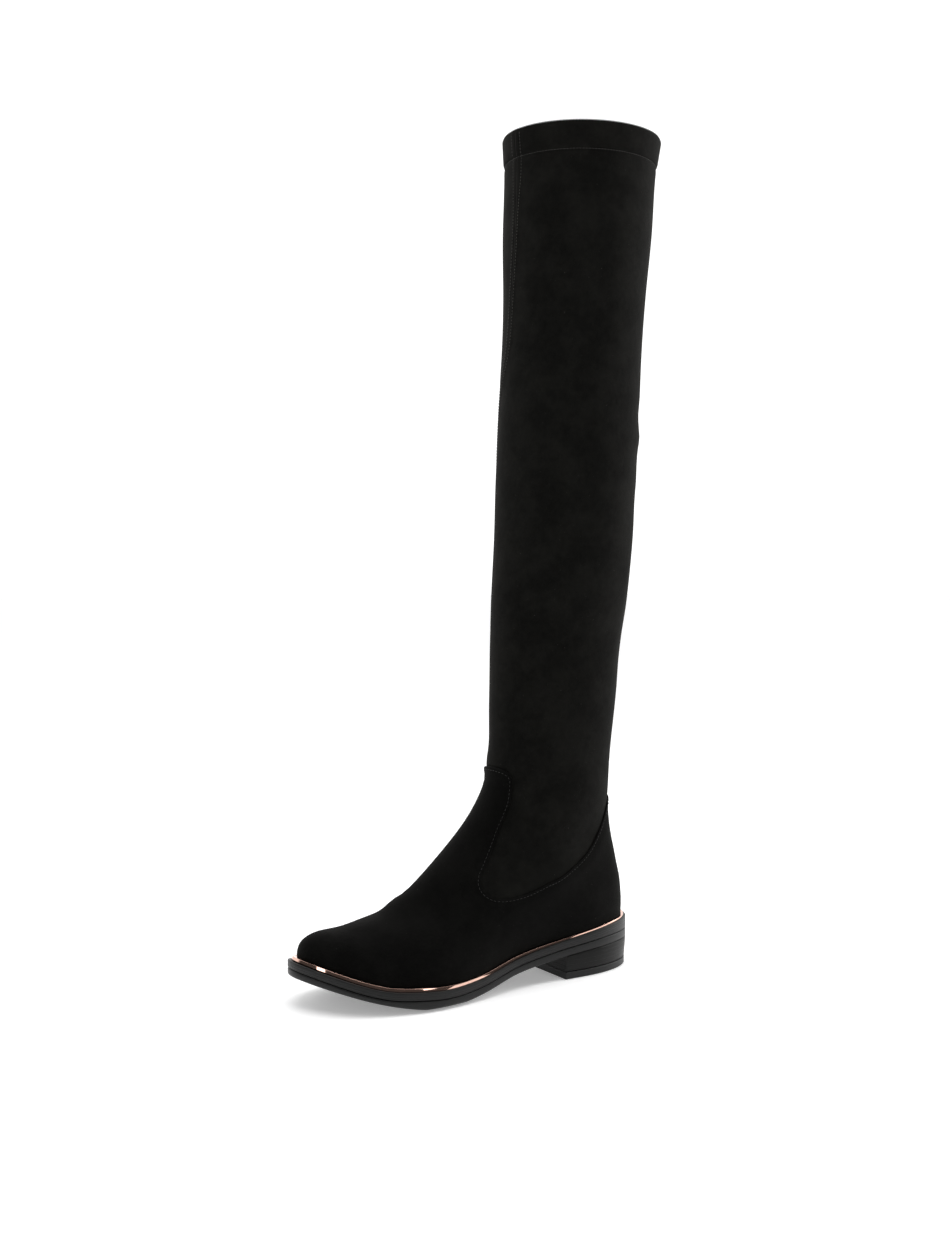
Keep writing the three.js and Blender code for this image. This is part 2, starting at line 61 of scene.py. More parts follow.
Colour = tuple[float, float, float]
Span = tuple[float, float]


@dataclass(frozen=True)
class Curve:
    """A smooth curve through named knots."""

    knots: Sequence[float]
    values: Sequence[float]

    @cached_property
    def slopes(self) -> list[float]:
        """The run of the curve at each knot."""
        last = len(self.knots) - 1
        ends = [(max(0, i - 1), min(last, i + 1)) for i in range(last + 1)]
        x, y = self.knots, self.values
        return [(y[b] - y[a]) / (x[b] - x[a]) for a, b in ends]

    def __call__(self, at: float) -> float:
        """The curve's value at a coordinate, held level beyond its ends."""
        last = len(self.knots) - 1
        t = min(max(at, self.knots[0]), self.knots[last])
        i = 0
        while i < last - 1 and t > self.knots[i + 1]:
            i += 1
        span = self.knots[i + 1] - self.knots[i]
        h = (t - self.knots[i]) / span
        h2, h3 = h * h, h * h * h
        return (
            self.values[i] * (2 * h3 - 3 * h2 + 1)
            + self.slopes[i] * span * (h3 - 2 * h2 + h)
            + self.values[i + 1] * (3 * h2 - 2 * h3)
            + self.slopes[i + 1] * span * (h3 - h2)
        )


def smooth_step(low: float, high: float, at: float) -> float:
    """Rises from 0 at low to 1 at high, level at both."""
    t = min(max((at - low) / (high - low), 0.0), 1.0)
    return t * t * (3 - 2 * t)


def even_turns(count: int) -> list[float]:
    """Turn angles in even steps all the way round."""
    return [FULL_TURN * i / count for i in range(count)]


def quarter_round(steps: int) -> list[tuple[float, float]]:
    """Shares of the radius, inward and up, along an edge rolled from a level face to a side."""
    angles = [math.pi / 2 * k / steps for k in range(steps + 1)]
    return [(1 - math.sin(angle), 1 - math.cos(angle)) for angle in angles]


def table(kind: type, *rows: tuple[float, ...]) -> list:
    """A table's rows, with their columns named by the row type."""
    return [kind(*row) for row in rows]


class PlanRow(NamedTuple):
    """One station of the sole's plan: half width as a share of a width, and the middle's drift."""

    at: float
    half: float
    of: float
    drift: float


class ProfileRow(NamedTuple):
    """One station of the sole's side view: shares of three heights and of its layers' thickness."""

    at: float
    heel: float
    ball: float
    toe: float
    thick: float
    welt: float


@dataclass(frozen=True)
class SoleForm:
    """The sole's sizes and outlines."""

    length: float = 264 * MM
    ball_width: float = 93 * MM
    waist_width: float = 60 * MM
    heel_width: float = 61 * MM
    heel_height: float = 35.5 * MM
    ball_height: float = 12.6 * MM
    toe_height: float = 31 * MM
    welt_thickness: float = 5.2 * MM
    thickness: float = 12.6 * MM
    heel_length: float = 71 * MM
    heel_taper: float = 1 * MM
    lift_thickness: float = 5 * MM
    groove: float = 0.9 * MM
    bevel: float = 0.7 * MM
    clearance: float = 0.3 * MM
    ball_along: float = 0.64
    heel_back_y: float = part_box("welt")[1].y

    @cached_property
    def plan(self) -> list[PlanRow]:
        """The outline in plan, from the heel (0) to the toe (1)."""
        heel, waist, ball = self.heel_width, self.waist_width, self.ball_width
        return table(
            PlanRow,
            (0.0, 0.9, heel, 0.0),
            (0.13, 0.762, heel, 0.002),
            (0.28, 0.59, heel, 0.014),
            (0.42, 0.52, waist, 0.055),
            (0.56, 0.64, waist, 0.062),
            (0.7, 0.545, ball, 0.027),
            (0.84, 0.613, ball, -0.018),
            (0.93, 0.634, ball, -0.06),
            (1.0, 0.585, ball, -0.098),
        )

    @cached_property
    def profile(self) -> list[ProfileRow]:
        """The side view, from the heel (0) to the toe (1)."""
        return table(
            ProfileRow,
            (0.0, 1.0, 0.0, 0.0, 1.22, 1.75),
            (0.12, 0.94, 0.0, 0.0, 1.04, 1.4),
            (0.26, 0.8, 0.0, 0.0, 0.88, 1.1),
            (0.42, 0.37, 0.7, 0.0, 0.95, 1.0),
            (0.55, 0.06, 1.0, 0.0, 1.0, 1.0),
            (0.64, 0.0, 1.0, 0.0, 1.07, 1.05),
            (0.72, 0.0, 0.85, 0.08, 1.07, 1.05),
            (0.84, 0.0, 0.6, 0.29, 0.85, 1.0),
            (1.0, 0.0, 0.0, 1.0, 0.97, 1.0),
        )

    @cached_property
    def half(self) -> Curve:
        """Half width along the sole."""
        return Curve([r.at for r in self.plan], [r.half * r.of for r in self.plan])

    @cached_property
    def drift(self) -> Curve:
        """Sideways place of the middle line along the sole."""
        return Curve([r.at for r in self.plan], [r.drift * self.ball_width for r in self.plan])

    @cached_property
    def feather(self) -> Curve:
        """Height of the line where the foot part meets the sole."""
        heights = [
            r.heel * self.heel_height + r.ball * self.ball_height + r.toe * self.toe_height
            for r in self.profile
        ]
        return Curve([r.at for r in self.profile], heights)

    @cached_property
    def depth(self) -> Curve:
        """The sole's depth below the feather line."""
        return Curve([r.at for r in self.profile], [r.thick * self.thickness for r in self.profile])

    @cached_property
    def welt_depth(self) -> Curve:
        """The depth of the sole's upper layer."""
        depths = [r.welt * self.welt_thickness for r in self.profile]
        return Curve([r.at for r in self.profile], depths)

    def share(self, turn: float) -> float:
        """The share of the length at a turn angle: 0 at the toe, half a turn at the heel."""
        return (1 + math.cos(turn)) / 2

    def station(self, y: float) -> float:
        """The share of the length that lies behind y."""
        return (self.heel_back_y - y) / self.length

    def welt_bottom(self, share: float) -> float:
        """Height of the groove between the sole's two layers."""
        return self.feather(share) - self.welt_depth(share)

    def bottom(self, share: float) -> float:
        """Height of the tread, flat where it rests on the floor."""
        return max(0.0, self.feather(share) - self.depth(share))

    def edge(self, turn: float, inset: float = 0.0) -> Vector:
        """A point of the sole's outline in plan, moved in from the edge."""

        def at(angle: float) -> Vector:
            """A point of the outline itself."""
            s = self.share(angle)
            x = math.sin(angle) * self.half(s) + self.drift(s)
            return Vector((x, self.heel_back_y - self.length * s))

        run = (at(turn + 1e-3) - at(turn - 1e-3)).normalized()
        return at(turn) + Vector((-run.y, run.x)) * inset


class FootRow(NamedTuple):
    """One ring of the skin round the foot, in shares of the sole's and the ankle's sizes."""

    back: float
    back_up: float
    front: float
    front_up: float
    end: float
    heel: float
    waist: float
    ball: float
    toe: float
    tip: float
    follow: float


class ShaftRow(NamedTuple):
    """One ring of the skin round the leg, from the ankle's size (0) to the top's (1)."""

    up: float
    depth: float
    width: float
    lean: float


class Ring(NamedTuple):
    """One ring of the skin in real sizes."""

    back_y: float
    front_y: float
    back_z: float
    front_z: float
    halves: tuple[float, ...]
    follow: float


class SeamRow(NamedTuple):
    """A point of the seam's side view: distance ahead of the heel, and height, as shares."""

    along: float
    up: float


@dataclass(frozen=True)
class BootForm:
    """The boot's skin above the sole: the shaft's outer face, which the foot part covers below."""

    sole: SoleForm
    ankle_height: float = 151.5 * MM
    ankle_depth: float = 95.5 * MM
    ankle_width: float = 73 * MM
    top_height: float = 598.5 * MM
    top_depth: float = 117 * MM
    top_width: float = 108 * MM
    ankle_setback: float = 64.2 * MM
    shaft_lean: float = 28.7 * MM
    foot_wall: float = 2 * MM
    shaft_wall: float = 1.2 * MM
    hem_height: float = 19 * MM
    hem_wall: float = 2.2 * MM
    half_knots: tuple[float, ...] = (0.0, 0.13, 0.42, 0.7, 0.88, 1.0)

    @cached_property
    def foot_rows(self) -> list[FootRow]:
        """The rings round the foot, from the feather line up."""
        return table(
            FootRow,
            (0.025, 0.0, 0.965, -0.014, 0.8, 0.645, 0.4, 0.463, 0.54, 0.51, 1.0),
            (0.025, 0.034, 0.968, 0.022, 0.83, 0.67, 0.447, 0.475, 0.555, 0.52, 1.02),
            (0.025, 0.08, 0.959, 0.066, 0.835, 0.685, 0.5, 0.476, 0.535, 0.495, 1.05),
            (0.027, 0.13, 0.924, 0.095, 0.83, 0.67, 0.545, 0.455, 0.49, 0.455, 1.0),
            (0.032, 0.19, 0.853, 0.104, 0.824, 0.65, 0.555, 0.42, 0.446, 0.42, 0.85),
            (0.041, 0.255, 0.768, 0.137, 0.785, 0.627, 0.562, 0.38, 0.39, 0.376, 0.6),
            (0.051, 0.325, 0.687, 0.202, 0.752, 0.603, 0.562, 0.353, 0.35, 0.344, 0.35),
            (0.064, 0.41, 0.59, 0.34, 0.706, 0.578, 0.555, 0.337, 0.333, 0.33, 0.1),
            (0.073, 0.5, 0.486, 0.525, 0.665, 0.56, 0.545, 0.333, 0.328, 0.325, 0.0),
            (0.067, 0.62, 0.428, 0.69, 0.623, 0.557, 0.555, 0.347, 0.344, 0.339, 0.0),
        )

    @cached_property
    def shaft_rows(self) -> list[ShaftRow]:
        """The rings round the leg, from the ankle up."""
        return table(
            ShaftRow,
            (0.0, 0.0, 0.0, 0.0),
            (0.035, -0.06, 0.06, 0.06),
            (0.097, 0.05, 0.17, 0.122),
            (0.194, 0.166, 0.34, 0.22),
            (0.258, 0.293, 0.49, 0.317),
            (0.357, 0.33, 0.62, 0.444),
            (0.453, 0.349, 0.7, 0.512),
            (0.536, 0.381, 0.72, 0.595),
            (0.648, 0.344, 0.71, 0.697),
            (0.746, 0.442, 0.78, 0.78),
            (0.845, 0.656, 0.88, 0.864),
            (0.941, 0.744, 0.92, 0.94),
            (1.0, 1.0, 1.0, 1.0),
        )

    @cached_property
    def seam_rows(self) -> list[SeamRow]:
        """The seam between foot part and shaft, from the front tab round to the back tab."""
        return table(
            SeamRow,
            (0.53, 0.985),
            (0.45, 0.985),
            (0.427, 0.977),
            (0.413, 0.955),
            (0.407, 0.92),
            (0.413, 0.86),
            (0.426, 0.8),
            (0.45, 0.73),
            (0.478, 0.647),
            (0.508, 0.564),
            (0.526, 0.513),
            (0.526, 0.463),
            (0.5, 0.426),
            (0.45, 0.422),
            (0.396, 0.436),
            (0.341, 0.462),
            (0.284, 0.488),
            (0.197, 0.568),
            (0.144, 0.658),
            (0.114, 0.722),
            (0.09, 0.785),
            (0.07, 0.81),
            (0.0, 0.812),
        )

    @cached_property
    def rings(self) -> list[Ring]:
        """All rings of the skin, from the feather line to the rim."""
        sole = self.sole
        of = (sole.heel_width, sole.heel_width, sole.waist_width) + (sole.ball_width,) * 3
        rings = [
            Ring(
                sole.heel_back_y - sole.length * r.back,
                sole.heel_back_y - sole.length * r.front,
                sole.feather(r.back) + self.ankle_height * r.back_up,
                sole.toe_height + self.ankle_height * r.front_up,
                tuple(w * s for w, s in zip(of, (r.end, r.heel, r.waist, r.ball, r.toe, r.tip))),
                r.follow,
            )
            for r in self.foot_rows
        ]
        for r in self.shaft_rows:
            depth = self.ankle_depth + (self.top_depth - self.ankle_depth) * r.depth
            width = self.ankle_width + (self.top_width - self.ankle_width) * r.width
            centre = sole.heel_back_y - self.ankle_setback + self.shaft_lean * r.lean
            height = self.ankle_height + (self.top_height - self.ankle_height) * r.up
            rings.append(
                Ring(centre + depth / 2, centre - depth / 2, height, height, (width / 2,) * 6, 0.0)
            )
        return rings

    @cached_property
    def columns(self) -> dict[str, Curve]:
        """The rings' sizes as curves of the ring number."""
        index = list(range(len(self.rings)))
        named = {
            name: Curve(index, [getattr(r, name) for r in self.rings])
            for name in ("back_y", "front_y", "back_z", "front_z", "follow")
        }
        for i in range(6):
            named[f"half{i}"] = Curve(index, [r.halves[i] for r in self.rings])
        return named

    @property
    def hem_line(self) -> float:
        """The height of the hem's stitch line."""
        return self.top_height - self.hem_height

    @property
    def ankle_ring(self) -> int:
        """The number of the ring at the ankle."""
        return len(self.foot_rows)

    @property
    def top_ring(self) -> int:
        """The number of the ring at the rim."""
        return len(self.rings) - 1

    def sag(self, y: float) -> float:
        """How far the feather line stands over the straight line between its ends."""
        s = self.sole.station(y)
        return self.sole.feather(s) - self.sole.heel_height * (1 - s) - self.sole.toe_height * s

    def level(self, v: float) -> "Level":
        """The skin's section at ring number v."""
        c = self.columns
        halves = Curve(self.half_knots, [c[f"half{i}"](v) for i in range(6)])
        back_y, front_y = c["back_y"](v), c["front_y"](v)
        return Level(
            self, v, back_y, front_y, c["back_z"](v), c["front_z"](v), c["follow"](v), halves,
            self.sag(back_y), self.sag(front_y),
        )

    @cached_property
    def seam_line(self) -> list[Vector]:
        """The seam's side view as close points (y, z)."""
        rows = self.seam_rows
        index = list(range(len(rows)))
        along = Curve(index, [r.along for r in rows])
        up = Curve(index, [r.up for r in rows])
        count = 12 * (len(rows) - 1)
        return [
            Vector((
                self.sole.heel_back_y - self.sole.length * along(i / 12),
                self.ankle_height * up(i / 12),
            ))
            for i in range(count + 1)
        ]

    def below_seam(self, p: Vector) -> bool:
        """Whether a point lies on the foot part's side of the seam, seen from the side."""
        line = self.seam_line
        inside = False
        loop = [Vector((line[0].x - 1, line[0].y)), *line, Vector((line[-1].x + 1, line[-1].y)),
                Vector((line[-1].x + 1, -1)), Vector((line[0].x - 1, -1))]
        for a, b in zip(loop, loop[1:] + loop[:1]):
            if (a.y > p.z) != (b.y > p.z) and p.y < (b.x - a.x) * (p.z - a.y) / (b.y - a.y) + a.x:
                inside = not inside
        return inside


@dataclass(frozen=True)
class Level:
    """One section of the skin."""

    form: BootForm
    v: float
    back_y: float
    front_y: float
    back_z: float
    front_z: float
    follow: float
    halves: Curve
    back_sag: float
    front_sag: float

    def point(self, turn: float) -> Vector:
        """The skin's point at a turn angle: 0 over the toe, half a turn over the heel."""
        s = (1 + math.cos(turn)) / 2
        y = self.back_y + (self.front_y - self.back_y) * s
        z = self.back_z + (self.front_z - self.back_z) * s
        if self.follow:
            z += self.follow * (self.form.sag(y) - self.back_sag * (1 - s) - self.front_sag * s)
        drift = self.form.sole.drift(s) * max(0.0, 1 - self.v / self.form.ankle_ring)
        return Vector((math.sin(turn) * self.halves(s) + drift, y, z))


class SkinFrame(NamedTuple):
    """A point of the skin with its outward normal."""

    point: Vector
    normal: Vector


class Skin:
    """Reads the skin with its normals, between close sections that it works out once."""

    per_ring: int = 40

    def __init__(self, form: BootForm) -> None:
        """Args: form: the boot's sizes."""
        self.form = form
        self._levels: dict[int, Level] = {}

    def _level(self, index: int) -> Level:
        """One of the close sections."""
        if index not in self._levels:
            self._levels[index] = self.form.level(index / self.per_ring)
        return self._levels[index]

    def point(self, turn: float, v: float) -> Vector:
        """The skin's point at a turn angle and ring number."""
        at = min(max(v, 0.0), self.form.top_ring - 1e-6) * self.per_ring
        index = int(at)
        low, high = self._level(index).point(turn), self._level(index + 1).point(turn)
        return low.lerp(high, at - index)

    def ring_at(self, height: float, turn: float = 0.0) -> float:
        """The ring number where the skin reaches a height at a turn angle."""
        low, high = 0.0, float(self.form.top_ring)
        for _ in range(20):
            middle = (low + high) / 2
            if self.point(turn, middle).z < height:
                low = middle
            else:
                high = middle
        return (low + high) / 2

    def seam_ring(self, turn: float, out: float = 0.0) -> float:
        """The ring number where the seam crosses a turn angle, at a distance out of the skin."""
        low, high = 3.0, self.form.ankle_ring + 1.0
        mirrored = math.pi - abs(math.pi - turn % FULL_TURN)
        for _ in range(18):
            middle = (low + high) / 2
            here = self.offset(mirrored, middle, out) if out else self.point(mirrored, middle)
            if self.form.below_seam(here):
                low = middle
            else:
                high = middle
        return (low + high) / 2

    def frame(self, turn: float, v: float) -> SkinFrame:
        """The skin's point and outward normal at a turn angle and ring number."""
        point = self.point(turn, v)
        round_run = self.point(turn + 2e-3, v) - self.point(turn - 2e-3, v)
        up_run = Vector((0, 0, 1))
        if v > 0:
            up_run = self.point(turn, v + 0.02) - self.point(turn, v - 0.02)
        return SkinFrame(point, round_run.cross(up_run).normalized())

    def offset(self, turn: float, v: float, out: float) -> Vector:
        """The skin's point moved out along its normal; ring 0 keeps to the feather line."""
        frame_here = self.frame(turn, v)
        point = frame_here.point + frame_here.normal * out
        if v <= 0:
            point.z = self.form.sole.feather(self.form.sole.station(point.y))
        return point


class Crease(NamedTuple):
    """A fold of the cloth: its place, run and size."""

    turn: float
    height: float
    tilt: float
    half_length: float
    half_width: float
    rise: float


@dataclass(frozen=True)
class Folds:
    """The soft folds of the worn leather and cloth, each given one by one."""

    creases: tuple[Crease, ...] = (
        Crease(2.62, 385 * MM, 0.15, 34 * MM, 7 * MM, 0.9 * MM),
        Crease(2.55, 402 * MM, 0.2, 30 * MM, 8 * MM, -0.7 * MM),
        Crease(2.75, 352 * MM, -0.1, 36 * MM, 10 * MM, 0.5 * MM),
        Crease(2.3, 300 * MM, 1.45, 60 * MM, 9 * MM, 0.6 * MM),
        Crease(0.9, 455 * MM, 0.35, 46 * MM, 13 * MM, -0.5 * MM),
        Crease(1.5, 330 * MM, -0.25, 50 * MM, 15 * MM, 0.5 * MM),
        Crease(0.35, 236 * MM, 0.1, 38 * MM, 11 * MM, 0.45 * MM),
        Crease(2.9, 226 * MM, 0.1, 34 * MM, 12 * MM, -0.5 * MM),
        Crease(1.35, 186 * MM, 0.3, 34 * MM, 9 * MM, -0.45 * MM),
        Crease(-1.4, 200 * MM, -0.3, 36 * MM, 10 * MM, 0.5 * MM),
        Crease(-1.2, 420 * MM, 0.2, 52 * MM, 15 * MM, 0.5 * MM),
        Crease(-2.4, 310 * MM, -0.3, 44 * MM, 12 * MM, -0.5 * MM),
        Crease(-0.35, 58 * MM, 0.05, 19 * MM, 3.6 * MM, 1.3 * MM),
        Crease(-0.3, 52 * MM, 0.05, 19 * MM, 3.4 * MM, -1.0 * MM),
    )
    cloud: float = 0.55 * MM
    cloud_size: float = 62 * MM
    reach: float = 2.6

    def rise(self, frame_here: SkinFrame, turn: float, radius: float) -> float:
        """How far the cloth stands out at a place.

        Args:
            frame_here: the skin at the place.
            turn: its turn angle.
            radius: the boot's rough radius there, to turn angles into lengths.

        Returns:
            The distance outward, in metres.
        """
        total = self.cloud * noise.noise(frame_here.point / self.cloud_size)
        reach = self.reach
        for c in self.creases:
            across = math.remainder(turn - c.turn, FULL_TURN) * radius
            up = frame_here.point.z - c.height
            along = across * math.cos(c.tilt) + up * math.sin(c.tilt)
            aside = up * math.cos(c.tilt) - across * math.sin(c.tilt)
            if abs(along) < reach * c.half_length and abs(aside) < reach * c.half_width:
                fall = (along / c.half_length) ** 2
                total += c.rise * math.exp(-fall - (aside / c.half_width) ** 2)
        return total


def grid_mesh(
    columns: int,
    rows: int,
    place: Callable[[int, int], Vector],
    round_shut: bool = True,
    ends_shut: bool = False,
    marks: Optional[dict[str, Callable[[int, int], float]]] = None,
    into: Optional[BMesh] = None,
) -> BMesh:
    """A sheet of quads laid over a surface.

    Args:
        columns: how many steps it has across.
        rows: how many steps it has up.
        place: gives the point of a column and a row.
        round_shut: whether the last column meets the first one.
        ends_shut: whether the last row meets the first one.
        marks: numbers to store on the points, by attribute name.
        into: a mesh to add the sheet to, joined where the points meet.

    Returns:
        The mesh, with a UV map that counts columns and rows from 0 to 1.
    """
    bm = into
    if bm is None:
        bm = bmesh.new()
        bm.loops.layers.uv.new("UVMap")
    layers = {name: bm.verts.layers.float.new(name) for name in marks or {}}
    grid = bmesh.ops.create_grid(bm, x_segments=columns, y_segments=rows, size=1.0, calc_uvs=True)
    for index, vert in enumerate(grid["verts"]):
        row, column = divmod(index, columns + 1)
        at = (column % columns if round_shut else column, row % rows if ends_shut else row)
        vert.co = place(*at)
        for name, layer in layers.items():
            vert[layer] = marks[name](*at)
    if round_shut or ends_shut or into:
        bmesh.ops.remove_doubles(bm, verts=bm.verts, dist=1e-7)
    return bm


def new_object(name: str, data: bpy.types.ID) -> bpy.types.Object:
    """A new object in the scene."""
    obj = bpy.data.objects.new(name, data)
    bpy.context.scene.collection.objects.link(obj)
    return obj


def turn_to(obj: bpy.types.Object, look: Vector) -> None:
    """Turns a camera or a light to face along a direction."""
    obj.rotation_mode = "QUATERNION"
    obj.rotation_quaternion = look.to_track_quat("-Z", "Y")


def finish_piece(
    bm: BMesh,
    name: str,
    material: Material,
    slot: str,
    replaces: Sequence[str] = (),
    smooth_angle: Optional[float] = None,
) -> bpy.types.Object:
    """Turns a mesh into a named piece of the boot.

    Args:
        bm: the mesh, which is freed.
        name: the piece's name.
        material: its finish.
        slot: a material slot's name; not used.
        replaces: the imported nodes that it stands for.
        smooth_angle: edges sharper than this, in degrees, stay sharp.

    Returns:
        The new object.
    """
    bmesh.ops.recalc_face_normals(bm, faces=bm.faces)
    mesh = bpy.data.meshes.new(name)
    bm.to_mesh(mesh)
    bm.free()
    mesh.shade_smooth()
    if smooth_angle is not None:
        mesh.set_sharp_from_angle(angle=math.radians(smooth_angle))
    obj = new_object(name, mesh)
    mesh.materials.append(material)
    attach(obj, "root")
    if replaces:
        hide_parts(*replaces)
    log.info("%s: %d faces", name, len(mesh.polygons))
    return obj


class Wire:
    """One socket of a shader, with arithmetic that adds Math nodes."""

    def __init__(self, graph: "Graph", socket: bpy.types.NodeSocket) -> None:
        """Args: graph: the graph that it is in; socket: the output that it stands for."""
        self.graph = graph
        self.socket = socket

    def _math(self, operation: str, *values: "Wire | float") -> "Wire":
        """One Math node on the given values."""
        inputs = dict(enumerate(values))
        return self.graph.node("ShaderNodeMath", {"operation": operation}, inputs)

    def __add__(self, other: "Wire | float") -> "Wire":
        """Sum."""
        return self._math("ADD", self, other)

    def __sub__(self, other: "Wire | float") -> "Wire":
        """Difference."""
        return self._math("SUBTRACT", self, other)

    def __mul__(self, other: "Wire | float") -> "Wire":
        """Product."""
        return self._math("MULTIPLY", self, other)

    def __abs__(self) -> "Wire":
        """Size without its sign."""
        return self._math("ABSOLUTE", self)

    def sine(self) -> "Wire":
        """Sine of an angle."""
        return self._math("SINE", self)

    def ramp(self, low: float, high: float, start: float = 0.0, end: float = 1.0) -> "Wire":
        """Runs smoothly from start to end while the value goes from low to high."""
        settings = {"interpolation_type": "SMOOTHSTEP"}
        inputs = {"Value": self, "From Min": low, "From Max": high, "To Min": start, "To Max": end}
        return self.graph.node("ShaderNodeMapRange", settings, inputs)


class Graph:
    """A node tree that is wired up node by node."""

    def __init__(self, tree: bpy.types.NodeTree) -> None:
        """Args: tree: the node tree, which is emptied."""
        self.tree = tree
        tree.nodes.clear()

    def node(self, kind: str, settings: dict, inputs: dict, output: int | str = 0) -> Wire:
        """Adds one node.

        Args:
            kind: the node's type.
            settings: its properties, set before the inputs.
            inputs: values or wires of its sockets, by name or number.
            output: which of its outputs to return.

        Returns:
            The chosen output.
        """
        made = self.tree.nodes.new(kind)
        for key, value in settings.items():
            setattr(made, key, value)
        for key, value in inputs.items():
            if isinstance(value, Wire):
                self.tree.links.new(value.socket, made.inputs[key])
            else:
                made.inputs[key].default_value = value
        return Wire(self, made.outputs[output])

    def finish(self, kind: str, surface: Wire) -> None:
        """Links a surface to a new output node."""
        output = self.tree.nodes.new(kind)
        self.tree.links.new(surface.socket, output.inputs["Surface"])


class Paint(Graph):
    """The node tree of one material, round its one shader."""

    def __init__(self, name: str) -> None:
        """Args: name: the material's name."""
        self.material = bpy.data.materials.new(name)
        self.material.use_nodes = True
        super().__init__(self.material.node_tree)
        self.shader = self.tree.nodes.new("ShaderNodeBsdfPrincipled")
        self.finish("ShaderNodeOutputMaterial", Wire(self, self.shader.outputs[0]))

    def place(self) -> Wire:
        """Object coordinates."""
        return self.node("ShaderNodeTexCoord", {}, {}, "Object")

    def attribute(self, name: str) -> Wire:
        """A number stored on the piece's points."""
        return self.node("ShaderNodeAttribute", {"attribute_name": name}, {}, "Fac")

    def speckle(
        self, size: float, detail: float, rough: float, stretch: Optional[Colour] = None
    ) -> Wire:
        """Soft noise with features of about the given size in metres."""
        at = self.place()
        if stretch:
            at = self.node("ShaderNodeMapping", {}, {"Vector": at, "Scale": stretch})
        inputs = {"Vector": at, "Scale": 1 / size, "Detail": detail, "Roughness": rough}
        return self.node("ShaderNodeTexNoise", {}, inputs, "Fac")

    def blend(self, share: Wire, first: "Wire | Colour", second: Colour) -> Wire:
        """Mixes two colours."""
        start = first if isinstance(first, Wire) else (*first, 1.0)
        inputs = {0: share, 6: start, 7: (*second, 1.0)}
        return self.node("ShaderNodeMix", {"data_type": "RGBA"}, inputs, 2)

    def bump(
        self, height: Wire, distance: float, strength: float, under: Optional[Wire] = None
    ) -> Wire:
        """A Bump node, on top of another one where it is given."""
        inputs = {"Height": height, "Distance": distance, "Strength": strength}
        if under is not None:
            inputs["Normal"] = under
        return self.node("ShaderNodeBump", {}, inputs)

    def set(self, **values: "Wire | float | Sequence[float]") -> None:
        """Sets the shader's sockets, named with underscores for spaces."""
        for key, value in values.items():
            socket = self.shader.inputs[key.replace("_", " ")]
            if isinstance(value, Wire):
                self.tree.links.new(value.socket, socket)
            elif isinstance(value, (int, float)):
                socket.default_value = value
            else:
                socket.default_value = (*value, 1.0) if len(value) == 3 else value


def linear(colour: Sequence[float]) -> tuple[float, ...]:
    """A colour as seen (0 to 1), as the shader's light values."""
    return tuple(c / 12.92 if c <= 0.04045 else ((c + 0.055) / 1.055) ** 2.4 for c in colour)


@dataclass(frozen=True)
class SuedeFinish:
    """Black napped suede or micro-suede, with clouds where the nap lies another way."""

    name: str
    colour: Colour = (0.032, 0.032, 0.028)
    light: Colour = (0.078, 0.077, 0.069)
    cloud: float = 26 * MM
    mottle: float = 4.5 * MM
    fibre: float = 0.55 * MM
    sheen: float = 0.03
    seamed: bool = False

    def material(self) -> Material:
        """Builds the finish."""
        g = Paint(self.name)
        clouds = g.speckle(self.cloud, 3.0, 0.6)
        mottle = g.speckle(self.mottle, 3.0, 0.65)
        fibre = g.speckle(self.fibre, 2.0, 0.7)
        nap = clouds.ramp(0.36, 0.66) * 0.5 + mottle.ramp(0.3, 0.7) * 0.3
        nap = nap + fibre.ramp(0.3, 0.72) * 0.2
        dust = g.speckle(1.1 * MM, 1.0, 0.5).ramp(0.79, 0.82)
        colour = g.blend(nap, linear(self.colour), linear(self.light))
        colour = g.blend(dust * 0.5, colour, linear((0.3, 0.29, 0.28)))
        height = fibre * 0.6 + mottle * 0.4
        g.set(
            Base_Color=colour,
            Roughness=nap * -0.08 + 0.94,
            Specular_IOR_Level=0.05,
            Sheen_Weight=self.sheen,
            Sheen_Roughness=0.45,
            Sheen_Tint=(0.8, 0.76, 0.72, 1.0),
        )
        relief = g.bump(height, 0.25 * MM, 0.7)
        if self.seamed:
            seam = abs(g.attribute("front_seam"))
            groove = seam.ramp(0.2 * MM, 0.7 * MM)
            hem = abs(g.attribute("hem_line")).ramp(0.3 * MM, 1.1 * MM)
            relief = g.bump(groove * hem, 0.5 * MM, 0.9, relief)
        g.set(Normal=relief)
        return g.material


